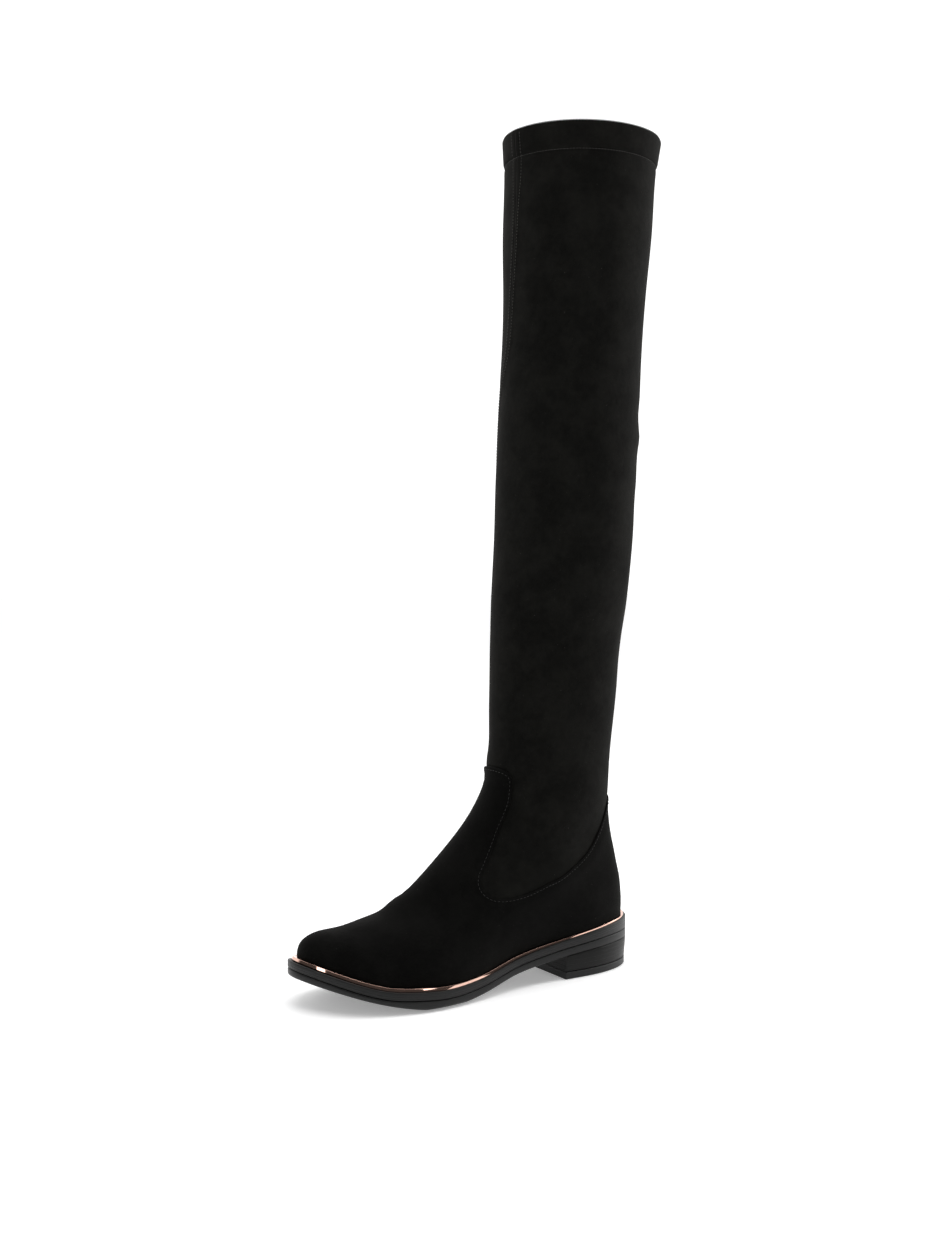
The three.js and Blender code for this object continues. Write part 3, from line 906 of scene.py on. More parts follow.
@dataclass(frozen=True)
class RubberFinish:
    """Satin black moulded rubber, with fine scuffs."""

    name: str
    colour: Colour = (0.06, 0.062, 0.062)
    scuffed: Colour = (0.16, 0.157, 0.152)
    roughness: float = 0.42
    shine: float = 0.25
    layered: bool = False

    def material(self) -> Material:
        """Builds the finish."""
        g = Paint(self.name)
        cloud = g.speckle(18 * MM, 3.0, 0.6)
        grain = g.speckle(0.7 * MM, 2.0, 0.6)
        scuff = g.speckle(3.0 * MM, 4.0, 0.7, (1, 1, 5)).ramp(0.6, 0.78)
        tone = g.blend(scuff * 0.35 + cloud * 0.15, linear(self.colour), linear(self.scuffed))
        relief = g.bump(grain, 0.06 * MM, 0.6)
        below = g.attribute("below_feather")
        for depth in (2.6 * MM, 4.0 * MM):
            relief = g.bump(abs(below - depth).ramp(0.1 * MM, 0.35 * MM), 0.25 * MM, 0.5, relief)
        if self.layered:
            height = g.node("ShaderNodeSeparateXYZ", {}, {"Vector": g.place()}, "Z")
            wobble = g.speckle(30 * MM, 1.0, 0.5, (1, 1, 0.2)) * (0.5 * MM)
            lines = ((height + wobble) * (FULL_TURN / (3.1 * MM))).sine()
            relief = g.bump(lines.ramp(0.75, 1.0, 1.0, 0.0), 0.12 * MM, 0.8, relief)
            tone = g.blend(lines.ramp(0.7, 1.0) * 0.5, tone, linear((0.05, 0.05, 0.05)))
        g.set(
            Base_Color=tone,
            Roughness=scuff * 0.18 + cloud * 0.12 + (self.roughness - 0.06),
            Specular_IOR_Level=self.shine,
            Normal=relief,
        )
        return g.material


@dataclass(frozen=True)
class MetalFinish:
    """Mirror-bright rose metal foil on the trim band."""

    name: str = "rose_metal"
    colour: Colour = (0.86, 0.71, 0.65)
    roughness: float = 0.03

    def material(self) -> Material:
        """Builds the finish."""
        g = Paint(self.name)
        wear = g.speckle(1.6 * MM, 3.0, 0.6)
        dull = wear.ramp(0.45, 0.75) * 0.35
        g.set(
            Base_Color=g.blend(dull, linear(self.colour), linear((0.66, 0.52, 0.46))),
            Metallic=1.0,
            Roughness=wear * 0.05 + self.roughness,
        )
        return g.material


@dataclass(frozen=True)
class ThreadFinish:
    """Waxed black sewing thread."""

    name: str
    colour: Colour

    def material(self) -> Material:
        """Builds the finish."""
        g = Paint(self.name)
        twist = g.speckle(0.4 * MM, 1.0, 0.5)
        dark = tuple(c * 0.6 for c in self.colour)
        g.set(
            Base_Color=g.blend(twist, linear(dark), linear(self.colour)),
            Roughness=twist * 0.15 + 0.5,
            Specular_IOR_Level=0.4,
            Normal=g.bump(twist, 0.1 * MM, 0.5),
        )
        return g.material


@dataclass(frozen=True)
class LiningFinish:
    """Short-pile dark lining cloth."""

    name: str
    colour: Colour = (0.15, 0.142, 0.135)

    def material(self) -> Material:
        """Builds the finish."""
        g = Paint(self.name)
        pile = g.speckle(0.6 * MM, 2.0, 0.7)
        cloud = g.speckle(20 * MM, 2.0, 0.6)
        dark = tuple(c * 0.7 for c in self.colour)
        g.set(
            Base_Color=g.blend(pile * 0.6 + cloud * 0.4, linear(dark), linear(self.colour)),
            Roughness=pile * -0.1 + 0.98,
            Specular_IOR_Level=0.2,
            Sheen_Weight=0.3,
            Normal=g.bump(pile, 0.25 * MM, 0.6),
        )
        return g.material


class StitchStyle(Enum):
    """How a row of stitches is sewn: stitch length, gap and thread thickness in millimetres."""

    LOCK = (1.9, 0.9, 0.36)
    FINE = (1.3, 0.9, 0.4)
    EDGE = (1.4, 0.8, 1.2)


@dataclass
class StitchRow:
    """A row of sewn stitches along a path on the boot."""

    name: str
    style: StitchStyle
    finish: Material
    slot: str
    arch: float = 0.35
    arch_drop: float = 0.45
    sink: float = 0.1

    def build(self, path: Sequence[SkinFrame], closed: bool = False) -> bpy.types.Object:
        """Lays the stitches.

        Args:
            path: close points of the row, with the cloth's outward normal at each.
            closed: whether the row meets itself.

        Returns:
            The stitches as one piece.
        """
        length, gap, thick = (value * MM for value in self.style.value)
        points = list(path) + ([path[0]] if closed else [])
        marks = [0.0]
        for a, b in zip(points, points[1:]):
            marks.append(marks[-1] + (b.point - a.point).length)
        count = max(1, int(marks[-1] / (length + gap)))
        pitch = marks[-1] / count
        bm = bmesh.new()
        index = 0
        for k in range(count):
            middle = (k + 0.5) * pitch
            while index < len(marks) - 2 and marks[index + 1] < middle:
                index += 1
            a, b = points[index], points[index + 1]
            span = marks[index + 1] - marks[index]
            h = (middle - marks[index]) / span if span else 0.0
            centre = a.point.lerp(b.point, h)
            normal = a.normal.lerp(b.normal, h).normalized()
            run = (b.point - a.point).normalized()
            side = normal.cross(run).normalized()
            made = bmesh.ops.create_uvsphere(bm, u_segments=6, v_segments=5, radius=1.0)["verts"]
            for vert in made:
                x, y, z = vert.co
                bend = 1 - self.arch_drop * z * z
                up = y * thick / 2 + thick * self.arch * bend - thick * self.sink
                vert.co = centre + run * (z * length / 2) + side * (x * thick / 2) + normal * up
        return finish_piece(bm, self.name, self.finish, self.slot)


@dataclass
class FootPart:
    """The suede foot part: vamp, sides and heel in one, up to the curved seam."""

    skin: Skin
    folds: Folds
    suede: Material
    thread: Material
    columns_per_side: int = 110
    rows: int = 44
    edge_steps: int = 5
    edge_bulge: float = 0.006
    foot_weight: float = 0.45
    row_ease: float = 1.15
    skive: float = 1.1 * MM
    skive_front: Span = (0.3, 0.7)
    skive_back: Span = (2.75, 3.0)
    skive_rows: Span = (0.9, 1.0)
    fold_radius: float = 42 * MM
    fold_start: Span = (0.0, 0.35)
    fold_end: Span = (0.6, 0.9)
    stitch_inset: float = 1.2 * MM

    @cached_property
    def turns(self) -> list[float]:
        """Turn angles, spaced so that they also step evenly along the seam."""
        steps = 400
        fine = [math.pi * i / steps for i in range(steps + 1)]
        points = [self.skin.point(t, self.skin.seam_ring(t)) for t in fine]
        foot = [self.skin.point(t, 0.5) for t in fine]
        weight = [0.0]
        for i in range(steps):
            seam_step, foot_step = points[i + 1] - points[i], foot[i + 1] - foot[i]
            weight.append(weight[-1] + seam_step.length + self.foot_weight * foot_step.length)
        spread, count = Curve(weight, fine), self.columns_per_side
        half = [spread(weight[-1] * i / count) for i in range(count + 1)]
        half[0], half[-1] = 0.0, math.pi
        return half + [FULL_TURN - t for t in reversed(half[1:-1])]

    @cached_property
    def seam_rings(self) -> list[float]:
        """Ring number of the seam at each column, on the wall's outer face."""
        half = len(self.turns) // 2
        rings = [self.skin.seam_ring(t, self.outer) for t in self.turns[: half + 1]]
        return rings + rings[1:-1][::-1]

    @property
    def outer(self) -> float:
        """How far the wall's outer face stands out from the skin."""
        return self.skin.form.sole.clearance + self.skin.form.foot_wall

    def thinned(self, column: int, share: float) -> float:
        """How far the outer face is drawn in at the seam's edge, which is skived at the sides."""
        turn = math.pi - abs(math.pi - self.turns[column])
        aside = smooth_step(*self.skive_front, turn) * (1 - smooth_step(*self.skive_back, turn))
        return self.skive * aside * smooth_step(*self.skive_rows, share)

    def outward(self, column: int, share: float, out: float) -> Vector:
        """A point of the wall.

        Args:
            column: the column's number.
            share: the height between the feather line (0) and the seam (1).
            out: how far out from the skin.

        Returns:
            The point.
        """
        turn = self.turns[column]
        v = self.seam_rings[column] * share ** self.row_ease
        here = self.skin.frame(turn, v)
        lift = self.folds.rise(here, turn, self.fold_radius) * smooth_step(*self.fold_start, share)
        lift *= 1 - smooth_step(*self.fold_end, share)
        inner = self.skin.form.sole.clearance
        depth = (out - inner) / (self.outer - inner)
        point = self.skin.offset(turn, v, out + lift - depth * self.thinned(column, share))
        point.z += self.skin.form.sole.clearance
        return point

    def build(self) -> None:
        """Makes the foot part and its row of stitches."""
        form = self.skin.form
        inner, outer = form.sole.clearance, self.outer
        middle, half = (inner + outer) / 2, (outer - inner) / 2
        path: list[tuple[float, float]] = [(i / self.rows, outer) for i in range(self.rows)]
        for k in range(self.edge_steps + 1):
            angle = math.pi * k / self.edge_steps
            up = 1 + self.edge_bulge * math.sin(angle)
            path.append((up, middle + half * math.cos(angle)))
        path += [(1 - i / (self.rows // 2), inner) for i in range(1, self.rows // 2 + 1)]
        columns = len(self.turns)
        bm = grid_mesh(columns, len(path), lambda c, r: self.outward(c, *path[r]), ends_shut=True)
        finish_piece(bm, "foot_suede", self.suede, "suede", ["foot_upper"])
        row = StitchRow("foot_seam_stitches", StitchStyle.LOCK, self.thread, "suede")
        row.build([self.stitch_frame(c, outer) for c in range(columns)], closed=True)

    def stitch_frame(self, column: int, out: float) -> SkinFrame:
        """A place of the stitch row, just inside the seam's edge."""
        before = self.skin.point(self.turns[column - 1], self.seam_rings[column - 1])
        here = self.skin.frame(self.turns[column], self.seam_rings[column])
        nxt = (column + 1) % len(self.turns)
        after = self.skin.point(self.turns[nxt], self.seam_rings[nxt])
        run = (after - before).normalized()
        inward = run.cross(here.normal).normalized()
        if inward.z > 0 and abs(run.z) < 0.6:
            inward.negate()
        height = out - 0.8 * self.thinned(column, 1.0)
        point = here.point + inward * self.stitch_inset + here.normal * height
        point.z += self.skin.form.sole.clearance
        return SkinFrame(point, here.normal)


@dataclass
class Shaft:
    """The tall stretch shaft, with its folded hem, front seam and stitches."""

    skin: Skin
    folds: Folds
    suede: Material
    thread: Material
    columns: int = 168
    rows: int = 132
    hem_steps: tuple[float, ...] = (
        -9, -6, -4.5, -3.5, -2.7, -2, -1.4, -0.8, -0.2, 0.4, 1, 1.6, 2.3, 3.2, 5, 8, 12, 15,
    )
    seam_turns: Curve = field(
        default_factory=lambda: Curve(
            [height * MM for height in (140, 300, 380, 415, 441, 485, 529, 572, 600)],
            [-1.5, -1.0, -0.66, -0.4, -0.16, -0.06, 0.03, 0.03, 0.02],
        )
    )
    radius: float = 57 * MM
    lowest_ring: float = 4.9
    underlap_rings: float = 0.7
    fold_radius: float = 56 * MM
    fold_start: Span = (150 * MM, 185 * MM)
    fold_end: Span = (540 * MM, 580 * MM)
    fold_loss: float = 0.6
    hem_edge: Span = (-1.2 * MM, 1.6 * MM)
    hem_roll: float = 1.1 * MM
    roll_steps: int = 6
    pinch_depth: float = 0.7 * MM
    pinch_reach: float = 2.0 * MM
    strip_rise: float = 0.35 * MM
    strip_edge: Span = (3.6 * MM, 5.2 * MM)
    strip_start: Span = (300 * MM, 360 * MM)
    stitch_aside: float = 2.9 * MM
    stitch_spread: float = 2.4 * MM
    spread_over: Span = (535 * MM, 575 * MM)
    seam_foot: float = 190 * MM
    seam_margin: float = 2 * MM

    @property
    def rim_ring(self) -> float:
        """Ring number where the rim's roll starts."""
        return self.skin.form.top_ring - 0.03

    def low_ring(self, turn: float) -> float:
        """Ring number of the shaft's lower edge, inside the foot part."""
        return max(self.lowest_ring, self.skin.seam_ring(turn) - self.underlap_rings)

    def outward(self, turn: float, v: float, inside: bool) -> Vector:
        """A point of the wall at a turn angle and ring number."""
        form = self.skin.form
        here = self.skin.frame(turn, v)
        z = here.point.z
        over_hem = z - form.hem_line
        hem = smooth_step(*self.hem_edge, over_hem)
        extra = (form.hem_wall - form.shaft_wall) / 2
        fade = 1 - self.fold_loss * smooth_step(*self.fold_end, z)
        fade = smooth_step(*self.fold_start, z) * fade
        lift = self.folds.rise(here, turn, self.fold_radius) * fade
        pinch = -self.pinch_depth * math.exp(-((over_hem / self.pinch_reach) ** 2))
        beside = smooth_step(*self.strip_edge, abs(self.seam_distance(turn, z)))
        seam = self.strip_rise * (1 - beside) * smooth_step(*self.strip_start, z)
        if inside:
            return here.point + here.normal * (lift - form.shaft_wall - hem * extra)
        return here.point + here.normal * (lift + hem * extra + pinch + seam)

    def seam_distance(self, turn: float, height: float) -> float:
        """Distance round the boot from the front seam's middle."""
        return math.remainder(turn - self.seam_turns(height), FULL_TURN) * self.radius

    def build(self) -> None:
        """Makes the shaft, its hem and its stitches."""
        form = self.skin.form
        turns = even_turns(self.columns)
        lows = [self.low_ring(t) for t in turns]
        top = self.rim_ring
        inner_rows, roll = self.rows // 2, self.roll_steps
        close = [self.skin.ring_at(form.hem_line + step * MM) for step in self.hem_steps]
        plain = self.rows - len(close)

        def place(column: int, row: int) -> Vector:
            """The point of a column and row."""
            turn, low = turns[column], lows[column]
            if row < plain:
                return self.outward(turn, low + (close[0] - low) * (row / plain), False)
            if row < self.rows:
                return self.outward(turn, close[row - plain], False)
            if row == self.rows:
                return self.outward(turn, top, False)
            if row < self.rows + roll:
                angle = math.pi * (row - self.rows) / roll
                out, back = self.outward(turn, top, False), self.outward(turn, top, True)
                point = (out + back) / 2 + (out - back) / 2 * math.cos(angle)
                return point + Vector((0, 0, self.hem_roll * math.sin(angle)))
            share = (row - self.rows - roll) / inner_rows
            return self.outward(turn, top + (low - top) * share, True)

        def seam_mark(column: int, row: int) -> float:
            """Distance from the front seam's middle."""
            return self.seam_distance(turns[column], place(column, row).z)

        def hem_mark(column: int, row: int) -> float:
            """Height over the hem's stitch line."""
            return place(column, row).z - form.hem_line

        rows = self.rows + roll + inner_rows + 1
        marks = {"front_seam": seam_mark, "hem_line": hem_mark}
        bm = grid_mesh(self.columns, rows, place, ends_shut=True, marks=marks)
        finish_piece(bm, "shaft_suede", self.suede, "stretch_suede", ["shaft"])
        self.hem_stitches()
        self.seam_stitches()

    def surface(self, turn: float, z: float) -> SkinFrame:
        """The finished outer face at a turn angle and height, with its normal."""
        v = self.skin.ring_at(z, turn)
        return SkinFrame(self.outward(turn, v, False), self.skin.frame(turn, v).normal)

    def hem_stitches(self) -> None:
        """Sews the hem and oversews the rim."""
        turns, top = even_turns(240), self.rim_ring
        path = [self.surface(turn, self.skin.form.hem_line) for turn in turns]
        self.sew("hem_stitches", path, closed=True)
        rim = []
        for turn in turns:
            middle = (self.outward(turn, top, False) + self.outward(turn, top, True)) / 2
            middle.z += self.hem_roll
            rim.append(SkinFrame(middle, Vector((0, 0, 1))))
        self.sew("rim_stitches", rim, StitchStyle.EDGE, closed=True)

    def seam_stitches(self) -> None:
        """Sews the two rows beside the front seam."""
        top, count = self.skin.form.top_height, 200
        for side, name in ((-1, "front_seam_stitches_inner"), (1, "front_seam_stitches_outer")):
            path = []
            for i in range(count):
                z = top - self.seam_margin - (top - self.seam_foot) * i / (count - 1)
                aside = self.stitch_aside + self.stitch_spread * smooth_step(*self.spread_over, z)
                turn = self.seam_turns(z) + side * aside / self.radius
                path.append(self.surface(turn, z))
            self.sew(name, path)

    def sew(
        self, name: str, path: Sequence[SkinFrame], style: StitchStyle = StitchStyle.FINE,
        closed: bool = False,
    ) -> None:
        """Sews one row of stitches in the shaft's thread."""
        StitchRow(name, style, self.thread, "stretch_suede").build(path, closed)


@dataclass
class SoleUnit:
    """The sole: welt, trim band, tread layer and stacked heel."""

    skin: Skin
    rubber: Material
    stack: Material
    metal: Material
    around: int = 240
    lid_columns: int = 24
    heel_steps: int = 60
    welt_roll: float = 0.8 * MM
    lift_roll: float = 0.3 * MM
    trim_toe: float = 2.0 * MM
    trim_heel: float = 1.0 * MM
    trim_toe_setback: float = 1.9 * MM
    trim_heel_setback: float = 0.8 * MM
    trim_lip: float = 0.95
    trim_tilt: float = math.radians(20)
    trim_roll: float = 0.35 * MM
    tread_inset: float = 9 * MM
    tread_rise: float = 3.3 * MM
    heel_roll: float = 0.08
    rib_pitch: float = 9 * MM
    rib_depth: float = 0.7 * MM
    rib_slant: float = 0.12
    rib_flank: Span = (0.1, 0.7)
    ribs_inset: Span = (15 * MM, 18 * MM)
    ribs_start: Span = (0.42, 0.47)
    wall_step: float = 0.578

    @property
    def form(self) -> SoleForm:
        """The sole's sizes."""
        return self.skin.form.sole

    def loop(
        self, inset: "float | Callable[[float], float]", height: Callable[[float], float]
    ) -> list[Vector]:
        """A loop round the sole's edge; its inset and height can depend on the place along it."""
        points = []
        for turn in even_turns(self.around):
            share = self.form.share(turn)
            p = self.form.edge(turn, inset(share) if callable(inset) else inset)
            points.append(Vector((p.x, p.y, height(share))))
        return points

    def stacked(
        self,
        loops: Sequence[Sequence[Vector]],
        first: int,
        relief: Optional[Callable[[Vector], float]] = None,
    ) -> BMesh:
        """A solid between a bottom and a top loop, through the loops between them.

        Args:
            loops: loops of points that all have as many points.
            first: the place in a loop that lies straight across from its last point.
            relief: how far a point of the bottom's face stands in.

        Returns:
            The mesh.
        """
        count = len(loops[0])
        across = self.lid_columns

        def below(column: int, row: int) -> float:
            """How far a point lies below the feather line."""
            point = loops[row][column]
            return self.form.feather(self.form.station(point.y)) - point.z

        marks = {"below_feather": below}
        bm = grid_mesh(count, len(loops) - 1, lambda c, r: loops[r][c], marks=marks)
        for number, loop in ((0, loops[0]), (-1, loops[-1])):

            def place(column: int, row: int, loop=loop, number=number) -> Vector:
                """The point of a column and row across the lid."""
                a, b = loop[row % count], loop[(first - 1 - row) % count]
                point = a.lerp(b, column / across)
                if relief and number == 0 and 0 < column < across:
                    point.z += relief(point)
                return point

            grid_mesh(across, count // 2, place, round_shut=False, into=bm)
        return bm

    def rounded(
        self, low: Callable[[float], float], high: Callable[[float], float], radius: float
    ) -> list[list[Vector]]:
        """Loops of one layer with its upper and lower edges rolled."""
        lower = [
            self.loop(radius * a, lambda s, b=b: low(s) + radius * b) for a, b in quarter_round(3)
        ]
        upper = [
            self.loop(radius * b, lambda s, a=a: high(s) - radius * a) for a, b in quarter_round(3)
        ]
        return lower + upper

    def welt(self) -> None:
        """Makes the upper layer of the sole's edge."""
        form = self.form
        bm = self.stacked(self.rounded(form.welt_bottom, form.feather, self.welt_roll), 1)
        finish_piece(bm, "welt_rubber", self.rubber, "sole_rubber", ["welt"], 40)

    def tread(self) -> None:
        """Makes the tread layer, with its rolled lower edge."""
        form = self.form
        top = lambda s: form.welt_bottom(s) - form.clearance
        heel = form.heel_length / form.length
        flat = self.heel_roll
        roll = Curve([0, heel, (heel + form.ball_along) / 2, 1], [flat, flat, 1, 1])
        loops = [
            self.loop(
                lambda s, a=a: roll(s) * (self.tread_inset * a),
                lambda s, b=b: form.bottom(s) + roll(s) * (self.tread_rise * b),
            )
            for a, b in quarter_round(6)
        ]
        loops += [
            self.loop(form.groove * b, lambda s, a=a: top(s) - form.groove * a)
            for a, b in quarter_round(3)
        ]
        bm = self.stacked(loops, 1, self.tread_relief)
        finish_piece(bm, "tread_rubber", self.rubber, "sole_rubber", ["outsole"], 40)

    def tread_relief(self, point: Vector) -> float:
        """How deep the tread's fine cross ribs are at a point of its under side."""
        form = self.form
        share = form.station(point.y)
        aside = abs(point.x - form.drift(share))
        from_edge = form.half(share) * math.sin(math.acos(2 * share - 1)) - aside
        ribbed = smooth_step(*self.ribs_inset, from_edge) * smooth_step(*self.ribs_start, share)
        wave = math.sin(FULL_TURN * (point.y + self.rib_slant * aside) / self.rib_pitch)
        return self.rib_depth * ribbed * smooth_step(*self.rib_flank, wave)

    def heel_loop(self, inset: float, height: Callable[[float], float]) -> list[Vector]:
        """A level of the heel: the sole's edge behind the breast, closed straight across."""
        form = self.form
        breast = math.acos(2 * form.heel_length / form.length - 1)
        steps = self.heel_steps
        side = [breast + (math.pi - breast) * i / steps for i in range(steps + 1)]
        points = []
        for turn in side + [FULL_TURN - t for t in reversed(side[:-1])]:
            p = form.edge(turn, inset)
            y = max(p.y, form.heel_back_y - form.heel_length)
            points.append(Vector((p.x, y, height(form.share(turn)))))
        return points

    def heel(self) -> None:
        """Makes the stacked heel and its top piece."""
        form = self.form
        top = lambda s: form.bottom(s) - form.clearance
        low = form.lift_thickness + form.clearance
        loops = [
            self.heel_loop(form.heel_taper + form.groove, lambda s: low),
            self.heel_loop(form.heel_taper + 0.3 * form.groove, lambda s: low + 0.4 * form.groove),
            self.heel_loop(form.heel_taper, lambda s: low + form.groove),
            self.heel_loop(0.0, lambda s: top(s) - form.groove),
            self.heel_loop(0.3 * form.groove, lambda s: top(s) - 0.4 * form.groove),
            self.heel_loop(form.groove, top),
        ]
        bm = self.stacked(loops, 0)
        finish_piece(bm, "heel_stack_block", self.stack, "heel_stack", ["heel_block"], 40)
        taper, bevel, lift = form.heel_taper, form.bevel, form.lift_thickness
        loops = [
            self.heel_loop(taper + bevel, lambda s: 0.0),
            self.heel_loop(taper + 0.3 * bevel, lambda s: 0.3 * bevel),
            self.heel_loop(taper, lambda s: bevel),
            self.heel_loop(taper, lambda s: lift - self.lift_roll),
            self.heel_loop(taper + self.lift_roll, lambda s: lift),
        ]
        bm = self.stacked(loops, 0)
        finish_piece(bm, "heel_top_piece", self.rubber, "sole_rubber", ["heel_lift"], 40)

    def beside_wall(self, turn: float, up: float) -> Vector:
        """The point clear of the foot part's outer face at a height over the feather line."""
        form = self.form
        out = 2 * form.clearance + self.skin.form.foot_wall
        low = self.skin.offset(turn, 0.0, out)
        height = low.z + up
        for k in range(1, 14):
            high = self.skin.offset(turn, self.wall_step * k / 3, out)
            if high.z > height:
                return low.lerp(high, (height - low.z) / (high.z - low.z))
            low = high
        return low

    def trim(self) -> None:
        """Makes the metal-faced band on the ledge between welt and foot part."""
        form = self.form
        ball = form.ball_along
        rise = Curve([form.heel_length / form.length, ball], [self.trim_heel, self.trim_toe])
        setback = Curve([ball, 1.0], [self.trim_heel_setback, self.trim_toe_setback])
        turns = even_turns(self.around)
        rows = 9

        def place(column: int, row: int) -> Vector:
            """The point of a column and row round the band's section."""
            turn = turns[column]
            share = form.share(turn)
            edge = form.edge(turn, form.bevel + setback(share))
            base = form.feather(share) + form.clearance
            foot = Vector((edge.x, edge.y, base))
            top = self.beside_wall(turn, form.clearance + rise(share))
            under = self.beside_wall(turn, form.clearance)
            inward = Vector((top.x - foot.x, top.y - foot.y, 0)).normalized()
            height = self.trim_lip * rise(share)
            face = inward * math.tan(self.trim_tilt) * height + Vector((0, 0, height))
            roll = min(self.trim_roll, 0.4 * height)
            lip = foot + face
            below_lip = lip - face.normalized() * roll
            beyond_lip = lip.lerp(top, min(roll / (top - lip).length, 0.5))
            if row == 0:
                return foot
            if row <= 5:
                h = (row - 1) / 4
                return below_lip * (1 - h) ** 2 + lip * (2 * h * (1 - h)) + beyond_lip * h ** 2
            if row <= 7:
                return beyond_lip.lerp(top, (row - 5) / 2)
            return under

        bm = grid_mesh(self.around, rows, place, ends_shut=True)
        finish_piece(bm, "trim_metal_band", self.metal, "rose_metal_trim", ["trim_band"], 50)

    def build(self) -> None:
        """Makes every layer of the sole."""
        self.welt()
        self.tread()
        self.heel()
        self.trim()


@dataclass
class Insole:
    """The cloth-covered board that closes the foot part underneath."""

    skin: Skin
    lining: Material

    def build(self) -> None:
        """Makes the insole with a softly rounded upper edge."""
        form = self.skin.form
        rise = form.rings[1].back_z - form.rings[0].back_z
        turns = even_turns(160)
        insets = [0.0, 0.0, 0.25, 0.8, 2.5, 8.0]
        ups = [0.0, 2.2, 2.8, 3.1, 3.2, 3.0]
        bm = bmesh.new()
        rings = []
        for inset, up in zip(insets, ups):
            circle = bmesh.ops.create_circle(bm, radius=1.0, segments=len(turns))
            for turn, vert in zip(turns, circle["verts"]):
                p = self.skin.offset(turn, up * MM / rise, -inset * MM)
                base = form.sole.feather(form.sole.station(p.y)) + form.sole.clearance
                vert.co = Vector((p.x, p.y, base + up * MM))
            members = set(circle["verts"])
            rings.append([e for e in bm.edges if e.verts[0] in members and e.verts[1] in members])
        for low, high in zip(rings, rings[1:]):
            bmesh.ops.bridge_loops(bm, edges=low + high)
        for ring in (rings[0], rings[-1]):
            cap = bmesh.ops.contextual_create(bm, geom=ring)["faces"]
            bmesh.ops.triangulate(bm, faces=cap)
        finish_piece(bm, "insole_cloth", self.lining, "insole_lining", ["insole"], 60)


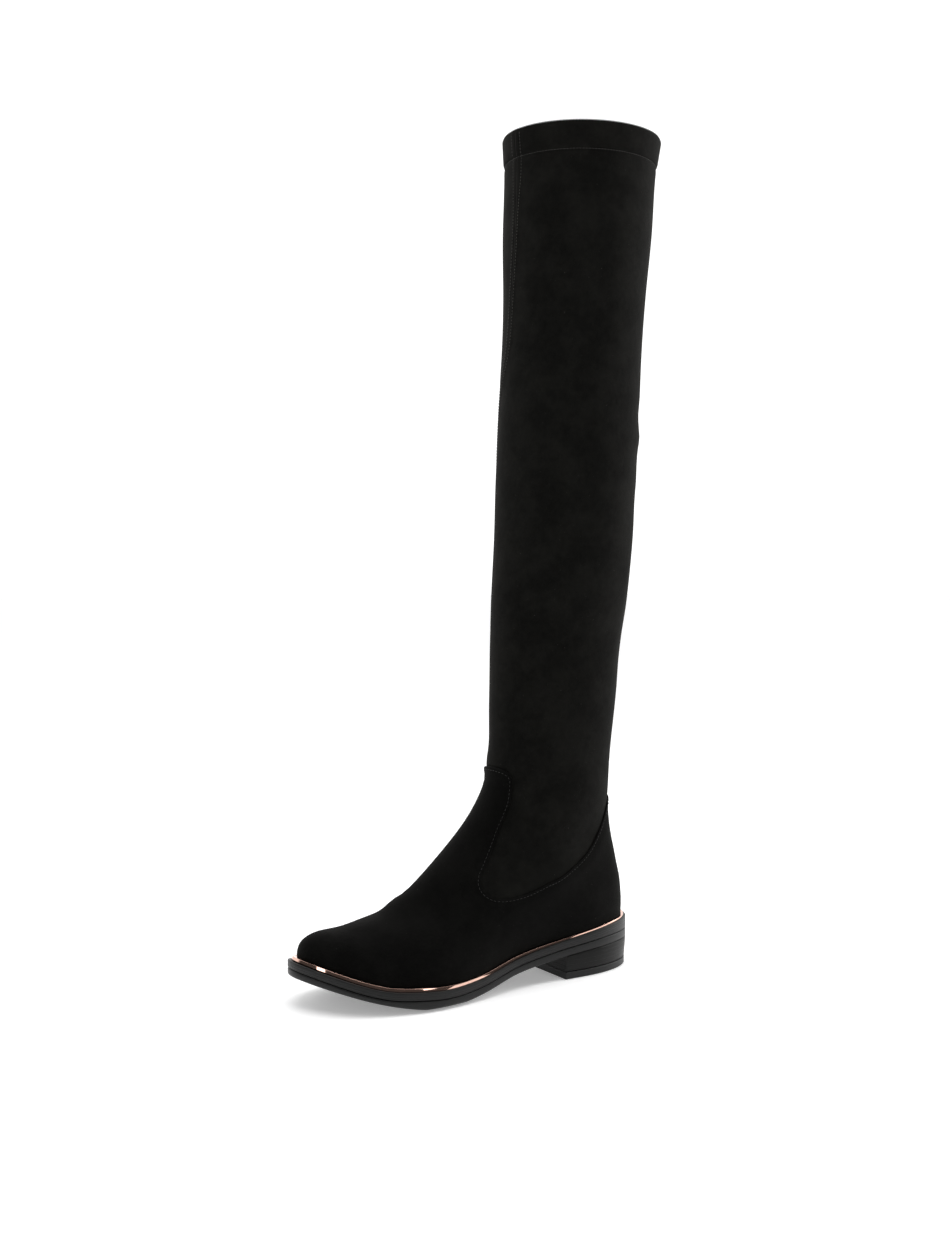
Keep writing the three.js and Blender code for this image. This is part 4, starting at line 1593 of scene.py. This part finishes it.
@dataclass(frozen=True)
class Studio:
    """Camera, floor and soft light."""

    azimuth: float = 58.2
    pitch: float = 1.54
    distance: float = 1.001
    height: float = 0.283
    aside: float = 0.0045
    shift_y: float = 0.01175
    lens: float = 1436 * 36 / 1234
    sky: float = 1.3
    room: float = 0.07
    floor_glow: float = 0.28
    room_pitch: float = -10
    room_edge: float = -0.2
    room_fade: float = 0.25
    floor_drop: float = 0.2 * MM
    strip_reach: float = 2.2
    strip_height: float = 1.3

    def camera(self) -> None:
        """Places the camera at the photograph's angle."""
        az, down = math.radians(self.azimuth), math.radians(self.pitch)
        data = bpy.data.cameras.new("camera")
        data.lens = self.lens
        data.sensor_width = 36
        data.clip_start, data.clip_end = 0.02, 50
        camera = new_object("camera", data)
        camera.location = (
            self.aside * math.cos(az) + self.distance * math.sin(az),
            self.aside * math.sin(az) - self.distance * math.cos(az) - self.shift_y,
            self.height,
        )
        level = math.cos(down)
        turn_to(camera, Vector((-math.sin(az) * level, math.cos(az) * level, -math.sin(down))))
        bpy.context.scene.camera = camera

    def floor(self) -> None:
        """Lays a plain pale floor."""
        bm = bmesh.new()
        bmesh.ops.create_grid(bm, x_segments=1, y_segments=1, size=20)
        mesh = bpy.data.meshes.new("floor")
        bm.to_mesh(mesh)
        bm.free()
        obj = new_object("floor", mesh)
        obj.location.z = -self.floor_drop
        g = Paint("floor_white")
        g.set(
            Base_Color=(0.95, 0.95, 0.95),
            Roughness=0.9,
            Emission_Color=(1.0, 1.0, 1.0),
            Emission_Strength=self.floor_glow,
        )
        mesh.materials.append(g.material)

    def light(
        self, name: str, place: Vector, aim: Vector, size: tuple[float, float], power: float
    ) -> None:
        """Hangs one soft light.

        Args:
            name: its name.
            place: where it hangs.
            aim: the point that it faces.
            size: its width and height.
            power: its power in watts.
        """
        data = bpy.data.lights.new(name, "AREA")
        data.shape = "RECTANGLE"
        data.size, data.size_y = size
        data.energy = power
        obj = new_object(name, data)
        obj.location = place
        turn_to(obj, aim - place)

    def world(self) -> bpy.types.World:
        """White wherever the camera looks, but dim in reflections low down behind the camera."""
        world = bpy.data.worlds.new("studio")
        world.use_nodes = True
        g = Graph(world.node_tree)
        az, up = math.radians(self.azimuth), math.radians(self.room_pitch)
        behind = (math.sin(az) * math.cos(up), -math.cos(az) * math.cos(up), math.sin(up))
        at = g.node("ShaderNodeTexCoord", {}, {}, "Generated")
        dot = {"operation": "DOT_PRODUCT"}
        facing = g.node("ShaderNodeVectorMath", dot, {0: at, 1: behind}, "Value")
        share = facing.ramp(self.room_edge, self.room_edge + self.room_fade)
        seen = g.node("ShaderNodeLightPath", {}, {}, "Is Camera Ray")
        bright, dim = (
            g.node("ShaderNodeBackground", {}, {"Color": WHITE, "Strength": strength})
            for strength in (self.sky, self.room)
        )
        inputs = {0: share * (seen * -1.0 + 1.0), 1: bright, 2: dim}
        g.finish("ShaderNodeOutputWorld", g.node("ShaderNodeMixShader", {}, inputs))
        return world

    def strip_light(
        self, name: str, azimuth: float, elevation: float, width: float, power: float
    ) -> None:
        """Stands a tall soft strip at an azimuth and elevation, in degrees, seen from the boot."""
        az, up = math.radians(azimuth), math.radians(elevation)
        aim = Vector((0, -0.03, 0.05))
        run = Vector((math.cos(az) * math.cos(up), math.sin(az) * math.cos(up), math.sin(up)))
        self.light(name, aim + run * self.strip_reach, aim, (width, self.strip_height), power)

    def build(self) -> None:
        """Sets up the studio."""
        scene = bpy.context.scene
        scene.view_settings.view_transform = "Standard"
        scene.world = self.world()
        self.camera()
        self.floor()
        middle = Vector((0, 0, 0.3))
        self.light("top_soft", Vector((0.3, -0.2, 2.0)), middle, (1.6, 1.6), 18)
        shaft = Vector((0, 0.05, 0.42))
        self.light("back_strip", Vector((0.25, 1.3, 0.75)), shaft, (0.4, 1.2), 7)
        self.strip_light("left_strip", -76, 24, 0.36, 5)
        self.strip_light("right_strip", 17, 24, 0.5, 6)


def main() -> None:
    """Builds the boot, piece by piece, and the studio round it."""
    logging.basicConfig(level=logging.INFO, format="%(name)s: %(message)s")
    form = BootForm(SoleForm())
    skin = Skin(form)
    folds = Folds()
    suede = SuedeFinish("black_suede", (0.016, 0.016, 0.014), (0.044, 0.043, 0.038)).material()
    stretch = SuedeFinish("black_stretch_suede", seamed=True).material()
    thread = ThreadFinish("black_thread", (0.13, 0.127, 0.12)).material()
    soft_thread = ThreadFinish("grey_black_thread", (0.27, 0.265, 0.25)).material()
    rubber = RubberFinish("sole_rubber_black").material()
    stack = RubberFinish("heel_stack_black", (0.045, 0.045, 0.042), shine=0.15, layered=True)
    FootPart(skin, folds, suede, thread).build()
    Shaft(skin, folds, stretch, soft_thread).build()
    SoleUnit(skin, rubber, stack.material(), MetalFinish().material()).build()
    Insole(skin, LiningFinish("lining_cloth").material()).build()
    Studio().build()


if __name__ == "__main__":
    main()
